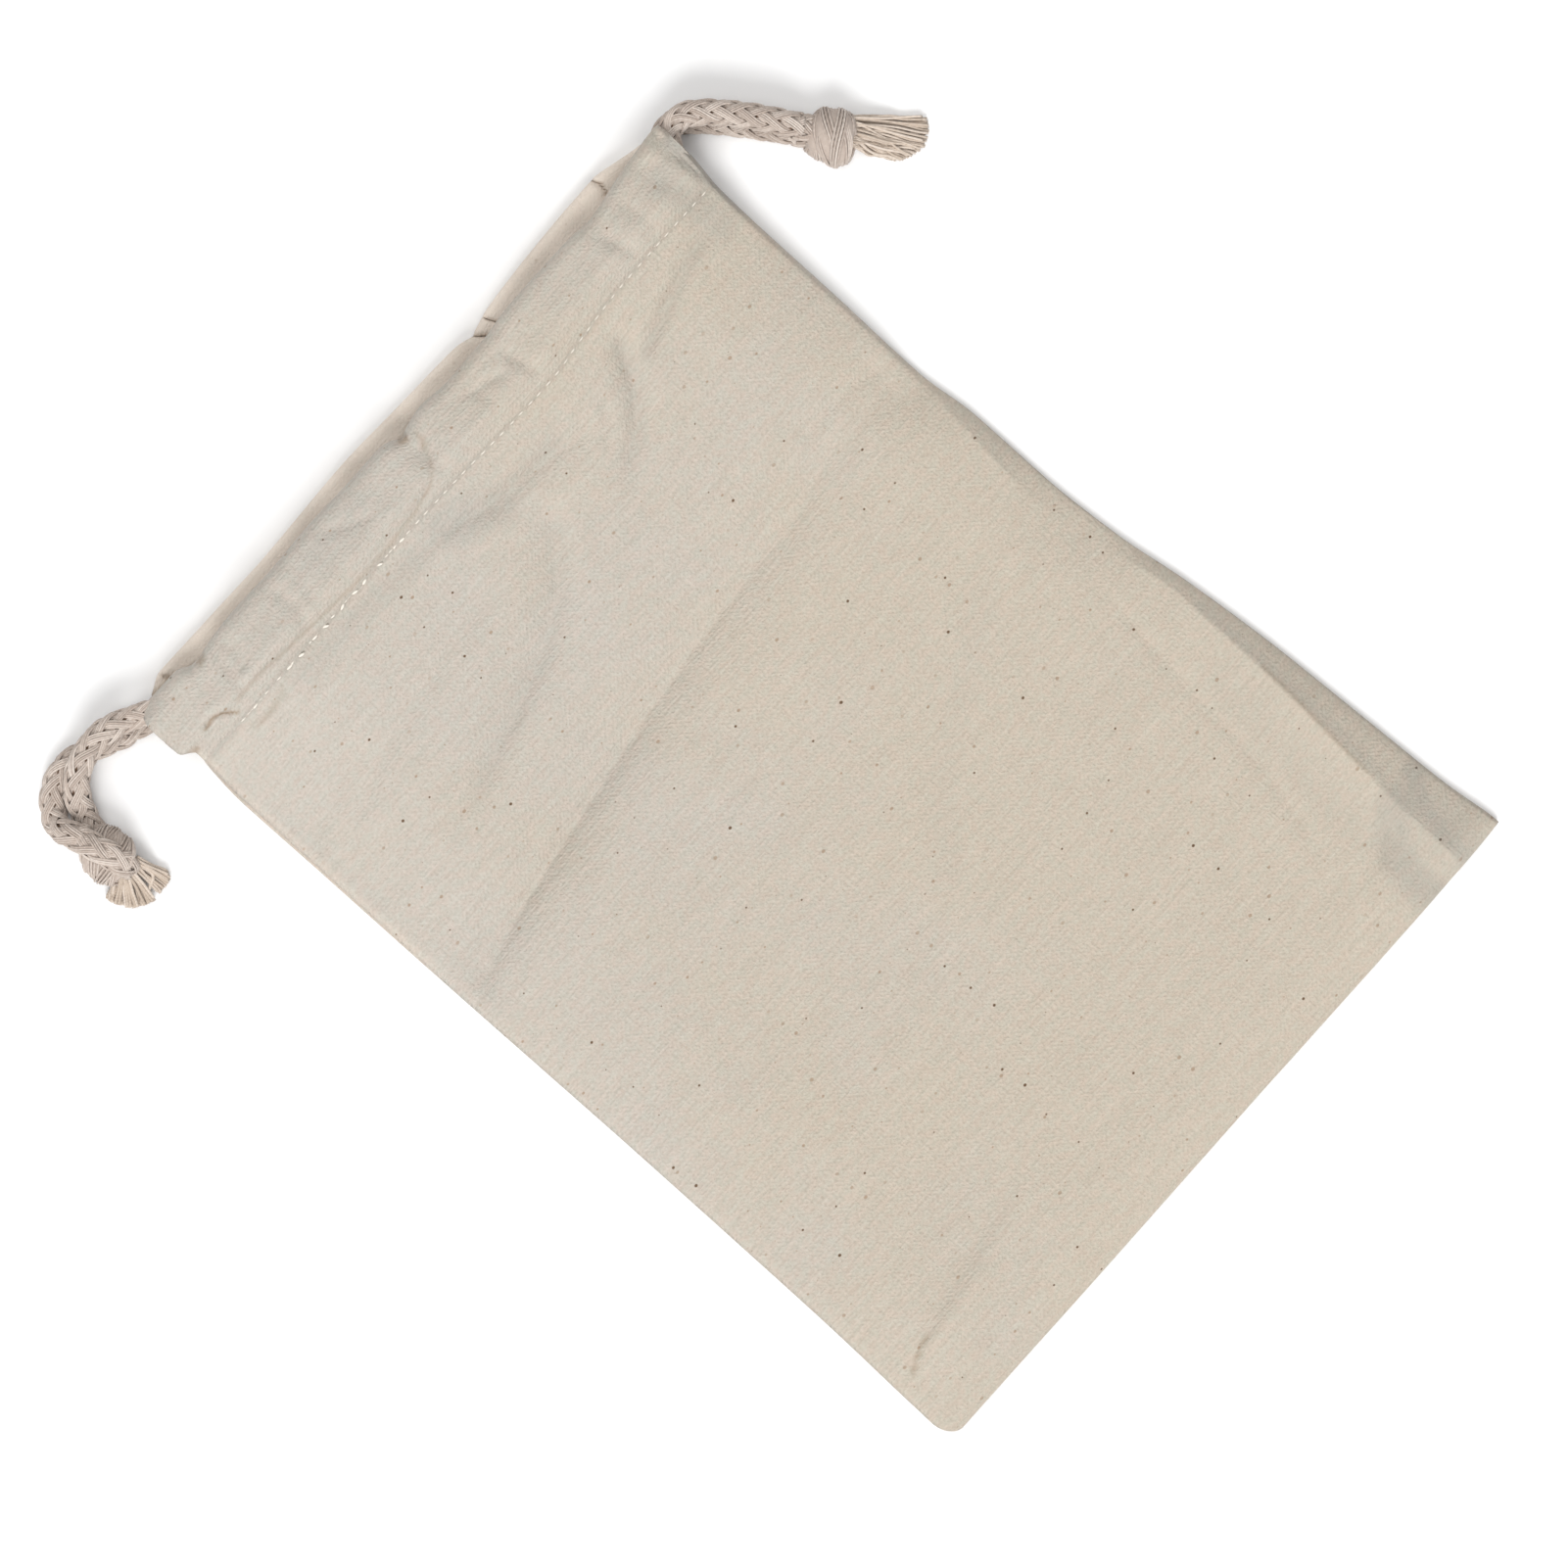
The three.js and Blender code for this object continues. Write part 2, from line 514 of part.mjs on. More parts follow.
const yarnWide = 1.5;
const socketGap = gap + 0.05;          // space round a cord's end inside its knot
const socketSteps = 8;                 // and how much of the cord's end it follows

function knotSolid(knot) {
  const core = new THREE.SphereGeometry(1, 18, 12);
  core.scale(0.45 * knotWide, 0.46 * knotLong, 0.47 * knotHigh);
  let solid = toSolid(core);
  wraps.forEach((wrap) => {
    const ring = new THREE.TorusGeometry(wrap.radius, wrap.cord, 8, 20);
    ring.scale(1, 1.12, 1);
    ring.rotateX(THREE.MathUtils.degToRad(wrap.tilt));
    ring.rotateZ(THREE.MathUtils.degToRad(wrap.swing));
    ring.translate(wrap.x, wrap.y, wrap.z);
    solid = solid.add(toSolid(ring));
  });
  solid = solid.rotate([0, 0, knot.turn]).translate([knot.x, knot.y, 0.5 * knotHigh]);
  for (let i = 0; i < knot.yarns; i += 1) {
    solid = solid.add(yarnSolid(knot, i));
  }
  solid = solid.trimByPlane([0, 0, 1], 0);
  const steps = stepsOf(knot.route);
  const upperSocket = cordSolid(knot.route, knot.isFree, socketGap, 0, socketSteps);
  const lowerSocket = cordSolid(knot.route, knot.isFree, socketGap, steps - socketSteps, steps);
  return solid.subtract(upperSocket).subtract(lowerSocket);
}

// The wraps of a knot, as rings of cord about its middle.
const wraps = [
  { radius: 3.1, cord: 1.9, tilt: 62, swing: 24, x: 0.2, y: 1.6, z: 0 },
  { radius: 3.2, cord: 1.8, tilt: 70, swing: -32, x: -0.2, y: -1.5, z: 0.1 },
];

// One loose yarn of a frayed end, of four sides, from inside the knot to its tip on the surface.
function yarnSolid(knot, i) {
  const share = i / (knot.yarns - 1);
  const angle = THREE.MathUtils.degToRad(mix(knot.from, knot.to, share));
  const upper = i % 2;          // every other yarn lies on its neighbours
  const ends = mix(knot.first, knot.last, share);
  const bulge = knot.middle - 0.5 * (knot.first + knot.last);
  const length = ends + 4 * bulge * share * (1 - share) - 0.5 * upper * yarnWide;
  const half = 0.5 * yarnWide;
  const rest = half + upper * 1.25 * yarnWide;
  const stations = [0, knot.split, 0.75, 1];
  const heights = [0.4 * knotHigh, rest + 0.5 * half, rest, upper ? rest * 0.7 : rest];
  const rings = stations.map((s, k) => {
    const size = half * (k === 0 ? 0.8 : 1 - 0.12 * k);
    const along = new THREE.Vector3(Math.cos(angle), Math.sin(angle), 0);
    const side = new THREE.Vector3(-along.y, along.x, 0);
    const reach = s * length;
    const centre = new THREE.Vector3(knot.rootX, knot.rootY, 0).addScaledVector(along, reach);
    centre.z = Math.max(size, heights[k]);
    return [[1, 1], [-1, 1], [-1, -1], [1, -1]].map(([a, b]) => {
      const p = centre.clone().addScaledVector(side, a * size);
      p.z += b * size;
      return p;
    });
  });
  return toSolid(loftSections(rings));
}

const materials = {
  cloth: new THREE.MeshStandardMaterial({ color: 0xd3c9b8, roughness: 0.95, metalness: 0 }),
  cord: new THREE.MeshStandardMaterial({ color: 0xc9b9a6, roughness: 0.95, metalness: 0 }),
};

const bag = new THREE.Group();

function addPiece(name, solid, material) {
  const mesh = new THREE.Mesh(toGeometry(solid), material);
  mesh.name = name;
  bag.add(mesh);
}

addPiece('front_panel', panelSolid(frontShape), materials.cloth);
addPiece('back_panel', panelSolid(backShape), materials.cloth);
addPiece('drawstring_left', cordSolid(leftRoute, leftFree), materials.cord);
addPiece('drawstring_right', cordSolid(rightRoute, rightFree), materials.cord);
knots.forEach((knot) => addPiece(knot.name, knotSolid(knot), materials.cord));

export default bag;
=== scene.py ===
# %% [markdown]
# This lesson dresses a small cotton drawstring bag. The bag lies flat and empty, seen from straight
# above, with its mouth a little open and a knotted pair of cord ends at each side. The imported model
# gives the frame; its six nodes are hidden, and the pieces made here take their place.

# %% Load the frame
import math

import bpy
import numpy as np
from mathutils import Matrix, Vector


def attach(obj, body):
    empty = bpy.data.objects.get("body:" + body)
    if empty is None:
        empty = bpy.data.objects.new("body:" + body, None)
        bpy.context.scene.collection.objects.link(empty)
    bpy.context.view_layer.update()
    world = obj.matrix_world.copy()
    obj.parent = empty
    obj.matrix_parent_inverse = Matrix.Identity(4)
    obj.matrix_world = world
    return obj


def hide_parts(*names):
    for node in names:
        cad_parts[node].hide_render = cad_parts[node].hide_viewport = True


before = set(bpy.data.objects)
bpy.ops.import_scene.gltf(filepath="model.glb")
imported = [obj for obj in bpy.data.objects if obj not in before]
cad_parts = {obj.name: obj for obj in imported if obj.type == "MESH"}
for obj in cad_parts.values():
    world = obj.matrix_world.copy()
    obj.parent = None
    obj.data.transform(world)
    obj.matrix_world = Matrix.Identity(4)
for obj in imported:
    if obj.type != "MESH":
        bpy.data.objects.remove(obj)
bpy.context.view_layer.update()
MM = 0.001
print("nodes:", sorted(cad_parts))

# %% [markdown]
# The photograph looks straight down and shows the bag turned by about 49 degrees. A long lens from
# far away keeps the raised casing from looking larger than the flat bottom.

# %% Camera
PHOTO_WIDTH = 289.1 * MM      # how much of the table the photograph shows
PHOTO_TURN = -48.93           # degrees
PHOTO_MIDDLE = (-5.2 * MM, 2.0 * MM)
CLOTH_LEVEL = 6 * MM          # the height at which that width is meant
LENS = 300.0
SENSOR = 36.0

camera_data = bpy.data.cameras.new("camera")
camera_data.lens = LENS
camera_data.sensor_width = SENSOR
camera_data.clip_end = 20.0
camera = bpy.data.objects.new("camera", camera_data)
bpy.context.collection.objects.link(camera)
camera.location = (*PHOTO_MIDDLE, PHOTO_WIDTH * LENS / SENSOR + CLOTH_LEVEL)
camera.rotation_euler = (0, 0, math.radians(PHOTO_TURN))
bpy.context.scene.camera = camera
bpy.context.scene.view_settings.view_transform = "Standard"
print("camera at", [round(value, 3) for value in camera.location])

# %% [markdown]
# The floor is plain and pale. A soft key light comes from the side of the bag's bottom left corner, so
# folds that face away from it go darker. A second one from straight above reaches into the open mouth,
# and the pale surroundings fill the rest. Both are suns with a wide disk: their light is as soft as a
# large studio lamp's, and equally strong all over the bag.

# %% Floor and light
bpy.ops.mesh.primitive_plane_add(size=6.0, location=(0, 0, 0))
floor = bpy.context.object
floor.name = "floor"
floor_paint = bpy.data.materials.new("floor_paint")
floor_paint.use_nodes = True
floor_shader = floor_paint.node_tree.nodes["Principled BSDF"]
floor_shader.inputs["Base Color"].default_value = (0.93, 0.93, 0.93, 1)
floor_shader.inputs["Roughness"].default_value = 0.9
floor.data.materials.append(floor_paint)


def soft_sun(name, towards, strength, width):
    """A soft light from one direction; its width is in degrees."""
    data = bpy.data.lights.new(name, "SUN")
    data.energy = strength
    data.angle = math.radians(width)
    light = bpy.data.objects.new(name, data)
    bpy.context.collection.objects.link(light)
    light.location = towards
    light.rotation_euler = Vector(towards).to_track_quat("Z", "Y").to_euler()
    print(name, "light", strength)


soft_sun("key", (-0.754, -0.657, 1.1), 2.5, 35)
soft_sun("overhead", (0.05, 0.3, 1.0), 1.34, 50)

world = bpy.data.worlds.new("pale_room")
world.use_nodes = True
background = world.node_tree.nodes["Background"]
background.inputs["Color"].default_value = (1.0, 1.0, 1.0, 1)
background.inputs["Strength"].default_value = 0.36
bpy.context.scene.world = world

# %% [markdown]
# The shape of the cloth is kept in tables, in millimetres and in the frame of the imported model. A
# smooth curve runs through each column of a table and never swings past its rows, so that an outline
# stays calm between two measured places.

# %% Reading a table
def along(rows, column, at):
    """One column of a table at each place, on a curve through all of its rows."""
    keys = np.array([row[0] for row in rows], float)
    values = np.array([row[column] for row in rows], float)
    at = np.asarray(at, float)
    secant = np.diff(values) / np.diff(keys)
    slope = np.zeros(len(keys))
    before, after = secant[:-1], secant[1:]
    same = before * after > 0
    slope[1:-1][same] = 2 * before[same] * after[same] / (before[same] + after[same])
    k = np.clip(np.searchsorted(keys, at) - 1, 0, len(keys) - 2)
    run = keys[k + 1] - keys[k]
    t = np.clip((at - keys[k]) / run, 0, 1)
    a, b = values[k], values[k + 1]
    first, last = slope[k] * run, slope[k + 1] * run
    return (((2 * a - 2 * b + first + last) * t + 3 * b - 3 * a - 2 * first - last) * t + first) * t + a


def smooth(low, high, at):
    """A soft step from 0 at low to 1 at high, whichever of the two is larger."""
    t = np.clip((np.asarray(at, float) - low) / (high - low), 0, 1)
    return t * t * (3 - 2 * t)


def mix(a, b, t):
    """From a where t is 0 to b where t is 1."""
    return a + (b - a) * t


# %% [markdown]
# The outline comes first. The two panels have edges of their own, because the back one shows beyond
# the front one at the mouth, and the right side of the front panel is folded along a crease.

# %% Outline of the cloth
# The cloth's outline: y, left edge, crease above the side seam, right edge, back left, back right.
OUTLINE = [
    (-103, -76.3, 65.8, 76.2, -76.3, 76.2), (-90, -75.9, 66.0, 75.0, -75.9, 75.1),
    (-70, -75.1, 67.4, 74.2, -75.1, 74.2), (-50, -74.7, 68.7, 73.4, -74.7, 73.5),
    (-30, -74.4, 69.0, 71.8, -74.4, 71.9), (-14, -74.2, 66.9, 69.8, -74.3, 69.8),
    (2, -74.1, 64.6, 69.0, -74.2, 69.0), (20, -74.0, 66.2, 69.2, -74.1, 69.2),
    (33, -73.7, 67.4, 68.2, -74.0, 68.2), (55, -73.2, 68.1, 68.8, -73.7, 68.8),
    (75, -72.8, 68.5, 69.2, -73.5, 69.2), (84, -72.2, 68.9, 69.6, -72.6, 69.4),
    (87.6, -71.9, 69.4, 70.1, -72.0, 69.6), (89.6, -74.2, 69.7, 70.4, -72.4, 69.8),
    (94, -74.3, 70.2, 70.9, -72.4, 69.6), (97, -74.1, 70.3, 71.0, -71.6, 68.2),
    (99, -73.3, 70.2, 70.9, -70.4, 66.4), (102.6, -71.2, 70.0, 70.7, -68.6, 64.0),
]
# Edges that run across the bag: x, rise of the bottom edge, stitch line, front mouth, back mouth.
ACROSS = [
    (-76, 1.5, 84.9, 100.2, 101.2), (-66, 1.4, 84.9, 99.9, 102.3), (-58, 1.3, 84.9, 98.4, 102.1),
    (-38, 1.0, 84.9, 98.9, 101.7), (-16, 0.8, 84.6, 98.5, 102.0), (-4, 0.7, 84.2, 97.6, 101.6),
    (8, 0.6, 83.5, 97.8, 100.9), (20, 0.4, 83.2, 97.5, 100.2), (28, 0.3, 84.0, 97.7, 101.0),
    (42, 0.1, 84.9, 97.8, 101.7), (57, 0.0, 84.8, 97.7, 101.8), (66, 0.1, 84.6, 98.6, 99.5),
    (76, 0.9, 84.6, 98.8, 99.0),
]
# The front mouth edge in the photograph, with its small waves and its dimple.
FRONT_MOUTH = [
    (-76, 99.4), (-72.5, 100.2), (-68, 100.0), (-65, 99.9), (-63, 99.4), (-61, 98.4), (-58.5, 98.2),
    (-56, 98.7), (-48, 99.1), (-38, 98.8), (-28, 99.0), (-16, 98.6), (-8, 98.5), (-5, 97.6), (-3.5, 96.6),
    (-1.5, 97.2), (3, 97.9), (10, 97.1), (20, 97.2), (28, 97.8), (36, 97.7), (44, 97.5), (50, 96.9),
    (55, 97.6), (60, 98.3), (65, 98.8), (70, 99.2), (76, 98.8),
]
# And the back one, with the notch in it.
BACK_MOUTH = [
    (-76, 100.0), (-70.4, 100.3), (-69.3, 101.0), (-66.5, 102.3), (-62, 102.2), (-50, 101.9), (-38, 101.6),
    (-15, 102.0), (0, 101.3), (12, 100.7), (16, 100.4), (18, 99.8), (19.2, 99.4), (20.5, 99.8), (22, 100.1),
    (25, 100.7), (40, 101.6), (50, 101.8), (57, 101.8), (59, 101.4), (61, 100.7), (66, 99.3), (76, 99.0),
]
BOTTOM = -102.3
CORNER = 3.3                  # how far the bottom left corner is rounded along the bottom edge
CORNER_TALL = 4.7             # and along the side
CORNER_BOTTOM = BOTTOM + 1.5  # where the bottom edge lies at that corner
print("outline", len(OUTLINE), "rows,", len(ACROSS), "rows across")

# %% [markdown]
# Nothing can be measured upwards in the photograph. The heights follow from the layers of cloth at the
# bottom and from the cords in the casings at the top, and between them the cloth rises slowly.

# %% Heights of the cloth
# How the front panel stands over the back one: y, middle, side, rise, lift of the back seam.
LOFT = [
    (-103, 1.3, 1.3, 8, 0), (-92, 2.9, 1.3, 9, 0), (-60, 3.4, 1.3, 10, 0), (-20, 3.8, 1.3, 12, 0),
    (15, 4.6, 1.3, 14, 0), (38, 5.8, 1.4, 17, 0.1), (58, 7.6, 1.6, 20, 0.3), (74, 9.2, 2.1, 24, 0.6),
    (83, 9.7, 2.8, 26, 0.6), (88, 9.6, 5.2, 26, 0.2), (89.4, 9.6, 5.5, 26, 0), (103, 9.6, 5.5, 26, 0),
]
# How steeply the cloth beyond the side crease goes down, by y.
SIDE_SLOPE = [
    (-103, 0.42), (-90, 0.5), (-82, 0.68), (-24, 0.72), (-17, 0.43), (-8, 0.28), (5, 0.44), (13, 0.66),
    (22, 0.72), (30, 0.60), (36, 0.16), (103, 0.16),
]
CASING = 5.2                  # height of a casing
THREAD_LAYER = 0.55           # thickness of one layer of the real cloth
LOWEST = 0.3                  # height of the middle of a layer that lies on the floor
print("casing", CASING, "high, cloth", THREAD_LAYER, "thick")

# %% [markdown]
# Each drawstring goes in through the front casing, turns back at its far end and comes out through the
# back casing. The routes are needed early, because the outer cloth of the casing is kept above them.

# %% Routes of the drawstrings
# The drawstrings' middle lines, from one cut end through both casings to the other: x, y, z.
LEFT_ROUTE = [
    (-95.6, 91.6, 2.6), (-94.9, 94.4, 2.6), (-93.9, 96.6, 3.0), (-92.8, 98.4, 4.5), (-91.2, 100.0, 6.1),
    (-88.4, 101.8, 7.5), (-84.8, 102.8, 8.0), (-81.0, 102.8, 8.1), (-77.4, 101.8, 7.9), (-74.0, 100.0, 7.8),
    (-70.5, 97.8, 8.7), (-66.0, 95.6, 10.3), (-61.0, 94.2, 11.2), (-52.0, 93.9, 12.0), (-36.0, 93.9, 12.2),
    (-8.0, 93.9, 12.2), (20.0, 93.9, 12.2), (40.0, 93.9, 12.2), (49.0, 93.9, 11.9), (53.4, 93.9, 10.8),
    (55.8, 94.1, 7.2), (53.6, 95.9, 3.8), (49.0, 96.5, 2.6), (36.0, 96.5, 2.6), (6.0, 96.5, 2.6),
    (-26.0, 96.5, 2.6), (-56.0, 96.5, 2.6), (-66.0, 96.8, 2.6), (-71.0, 97.7, 2.6), (-75.0, 98.7, 2.6),
    (-79.0, 100.2, 2.6), (-84.0, 102.5, 2.6), (-88.5, 103.9, 2.6), (-92.3, 103.8, 2.6), (-95.5, 102.3, 2.6),
    (-98.0, 99.9, 2.7), (-99.1, 97.6, 3.9), (-98.9, 95.9, 5.6), (-98.2, 94.3, 6.4), (-97.2, 92.4, 6.2),
]
RIGHT_ROUTE = [
    (88.2, 79.4, 6.6), (87.0, 81.5, 7.5), (85.0, 85.0, 7.9), (82.4, 89.2, 7.9), (79.4, 93.2, 7.9),
    (76.4, 96.3, 7.9), (73.4, 97.3, 7.9), (71.0, 96.4, 8.0), (68.6, 93.9, 8.5), (65.8, 91.2, 8.9),
    (62.0, 89.4, 9.6), (56.0, 88.9, 10.9), (46.0, 88.6, 12.1), (20.0, 88.6, 12.2), (-8.0, 88.6, 12.2),
    (-36.0, 88.6, 12.2), (-51.0, 88.7, 12.1), (-57.5, 89.1, 11.6), (-62.5, 89.7, 10.5), (-67.2, 90.2, 9.3),
    (-69.3, 90.8, 6.3), (-67.2, 91.2, 3.3), (-64.0, 91.2, 2.6), (-52.0, 91.2, 2.6), (-26.0, 91.2, 2.6),
    (6.0, 91.2, 2.6), (34.0, 91.2, 2.6), (54.0, 91.2, 2.6), (61.0, 91.6, 2.6), (64.6, 93.2, 2.6),
    (67.6, 95.4, 2.6), (70.2, 97.5, 2.6), (72.6, 97.9, 2.6), (75.0, 96.3, 2.6), (78.4, 92.4, 2.6),
    (82.0, 87.2, 2.6), (85.2, 82.2, 2.6), (87.2, 79.2, 2.6),
]
print("routes", len(LEFT_ROUTE), "and", len(RIGHT_ROUTE), "points")

# %% [markdown]
# Cloth that was folded in a packet keeps the creases. Each row of this table is one crease: the line
# that it follows, how deep the cloth sinks there, and how wide its two flanks are, first the one
# towards the bottom of the bag and then the one towards the mouth. A negative depth is a ridge. A long
# crease has a depth for each of its points.

# %% Creases of the front panel
CREASES = [
    ("main fold", [(-80, 16.9), (-72, 19), (-60, 22.8), (-50, 24.6), (-40, 26), (-20, 28.8), (0, 31),
                   (25, 32.8), (45, 34.8), (62, 35.6), (72, 37)],
     (0.3, 0.6, 1.35, 1.6, 1.7, 1.65, 1.35, 1.0, 0.8, 0.5, 0), 12.0, 19.0),
    ("main fold line", [(-74, 18.5), (-60, 22.8), (-50, 24.6), (-40, 26), (-20, 28.8), (0, 31), (25, 32.8),
                        (45, 34.8)],
     (0, 0.4, 0.5, 0.5, 0.42, 0.24, 0.12, 0), 5.0, 1.4),
    ("band by the side", [(43, 42), (50.5, 41.9), (58, 40.6), (68, 39.2)], 0.4, 3.5, 3.0),
    ("middle trough", [(-54, 41.5), (-42, 44.2), (-29, 47.7), (-14.7, 52), (-6, 56.5), (-0.6, 61.8),
                       (3, 65.3), (8, 68)],
     (0, 0.7, 1.1, 1.1, 1.1, 1.0, 0.7, 0), 6.0, 9.0),
    ("faint trough", [(-68, 55), (-58, 58.5), (-45, 62), (-27, 64.5), (-8, 66)], 0.35, 4.0, 6.0),
    ("trough below the casing", [(-54, 83), (-40, 82.6), (-27, 81.8), (-12, 80.3), (-2, 76.5), (8, 75),
                                 (18, 73), (24, 73.5)],
     (0, 0.35, 0.45, 0.7, 1.0, 0.9, 0.6, 0), 4.5, 3.0),
    ("right wrinkle", [(16, 61), (21, 62.6), (27, 66), (32, 71), (35.5, 77), (38, 81)],
     (0, 0.5, 0.9, 1.0, 0.9, 0), 5.5, 5.0),
    ("double line", [(19, 67), (24, 70.5), (27, 75)], 0.32, 2.4, 2.0),
    ("side wrinkle", [(35.5, 72.8), (39, 73.8), (47, 76.3), (54, 78.4), (61, 79.5), (67, 79.6)],
     (0, 0.6, 0.8, 0.8, 0.6, 0), 3.2, 2.2),
    ("corner crease", [(-73, -87.8), (-66, -86.1), (-58, -85.5), (-50, -84.8), (-42, -82.4), (-26, -80.4)],
     (0, -0.5, -0.75, -0.75, -0.45, 0), 8.0, 4.2),
    ("corner crease line", [(-72.6, -87.8), (-68.5, -86.0), (-64.3, -84.6), (-61, -84.2)], 0.3, 1.2, 2.4),
    ("corner trough", [(64.0, -107), (63.8, -96), (63, -86.5)], 0.95, 2.0, 9.0),
    ("corner ridge", [(65.2, -107), (65.0, -96), (64.2, -87)], -0.3, 1.8, 1.6),
    ("corner fold", [(55, -91.5), (61, -88.5), (68, -84.5)], 0.4, 4.5, 1.6),
    ("long faint line", [(61, -15), (58.8, -31), (56.9, -46), (55.6, -62), (51.5, -77), (49, -84)],
     0.22, 3.6, 3.0),
    ("lower swell", [(-60, -52), (-20, -46), (20, -42), (55, -35)], -0.25, 16.0, 18.0),
    ("left dimple", [(-74, 60), (-60, 63), (-48, 66)], 0.35, 6.0, 7.0),
    ("left dimple by the casing", [(-72, 76), (-62, 78), (-52, 79)], 0.3, 4.0, 4.0),
]
print(len(CREASES), "creases")

# %% [markdown]
# The casing has creases of its own, in its outer layer only. Most run across it, because the cloth is
# gathered along the cords, and two follow the row of stitches.

# %% Creases of the casing
CASING_CREASES = [
    ("notch line", [(-67.8, 88.8), (-65, 89.3), (-62.5, 88.0), (-61, 86.4)], 0.5, 1.3, 1.6),
    ("second notch line", [(-60, 87.9), (-55, 88), (-50, 87.6), (-40, 86.6), (-30, 85.8), (-20, 85.6),
                           (-12, 86), (-6, 87.4), (-3, 90), (-2, 93.5)],
     0.35, 1.2, 1.8),
    ("band at the left", [(-57.6, 87), (-56.4, 92.5), (-55.4, 99)], 0.28, 2.4, 2.4),
    ("second band at the left", [(-55.0, 89.5), (-53.0, 94), (-54.0, 99)], 0.36, 3.0, 2.0),
    ("band left of middle", [(-41.4, 86), (-39.2, 91), (-40.4, 97.5)], 0.26, 2.4, 2.8),
    ("second band left of middle", [(-36.8, 87), (-35.6, 93), (-33.8, 99)], 0.2, 3.6, 3.2),
    ("mouth dimple", [(-4.6, 99.2), (-3.6, 96.4), (-2.0, 94.6)], 0.9, 1.8, 2.4),
    ("band at the middle", [(-3.0, 86), (-2.0, 96)], 0.36, 4.5, 2.6),
    ("faint band", [(13.0, 87), (12.0, 92), (13.6, 98)], 0.22, 3.2, 2.8),
    ("band right of middle", [(22.6, 84.5), (21.0, 91), (22.0, 99)], 0.42, 4.0, 2.6),
    ("band by the right", [(50.8, 85), (49.2, 91), (48.0, 99)], 0.42, 3.6, 2.6),
    ("second band by the right", [(54.6, 84), (56.2, 90), (55.2, 97)], 0.2, 3.0, 2.8),
    ("dark band", [(66.2, 84), (65.0, 88), (63.2, 93), (62.8, 99)], 0.2, 2.0, 4.6),
    ("light ridge", [(67.4, 85), (67.3, 90), (66.8, 94.5), (65.4, 99)], -0.35, 1.8, 1.8),
    ("seam band", [(69.2, 80), (69.0, 90), (69.0, 104)], 0.5, 2.8, 1.4),
    ("slanted crease", [(6, 96.6), (13, 92.5), (19, 90)], 0.3, 2.6, 2.2),
    ("second slanted crease", [(-28, 97.8), (-22, 93.5), (-17, 91)], 0.25, 2.8, 2.4),
]
print(len(CASING_CREASES), "creases in the casing")

# %% [markdown]
# A crease is felt up to its width away from the line and is deepest on it. All creases are added up,
# and where two of them meet the cloth sinks by both. Long slow waves make the cloth between uneven.

# %% How far the cloth sinks
def walked(points):
    """The length of the way from the first point to each of them."""
    return np.concatenate([[0], np.cumsum(np.linalg.norm(np.diff(points, axis=0), axis=1))])


def nearest(line, x, y):
    """How far each place is from a line, on which side, and how far along the line that is."""
    away, side, place = np.full(x.shape, 1e9), np.zeros_like(x), np.zeros_like(x)
    for a, b, start in zip(line[:-1], line[1:], walked(line)):
        length = np.hypot(*(b - a))
        run = (b - a) / length
        t = np.clip((x - a[0]) * run[0] + (y - a[1]) * run[1], 0, length)
        off = np.hypot(x - a[0] - t * run[0], y - a[1] - t * run[1])
        closer = off < away
        away = np.where(closer, off, away)
        side = np.where(closer, run[0] * (y - a[1]) - run[1] * (x - a[0]), side)
        place = np.where(closer, start + t, place)
    return away, side, place


def crease_depth(creases, x, y):
    """How far the cloth sinks at each place. A crease with one depth fades out at both ends."""
    total = np.zeros_like(x)
    for _, line, depth, near, far in creases:
        line = np.array(line, float)
        away, side, place = nearest(line, x, y)
        flank = np.clip(1 - away / np.where(side < 0, near, far), 0, 1)
        if np.ndim(depth):
            depth = np.interp(place, walked(line), depth)
        else:
            share = place / walked(line)[-1]
            depth = depth * smooth(0, 0.16, share) * smooth(0, 0.16, 1 - share)
        total += depth * flank * flank
    return total


def soft_noise(x, y, size, seed):
    """Smooth random unevenness between -1 and 1, from a few long waves of random direction."""
    draw = np.random.default_rng(seed)
    total = np.zeros_like(x)
    for _ in range(14):
        angle = draw.uniform(0, math.pi)
        length = size * draw.uniform(0.7, 1.8)
        phase = draw.uniform(0, 2 * math.pi)
        total += np.sin(2 * math.pi * (x * math.cos(angle) + y * math.sin(angle)) / length + phase)
    return total / 5.0
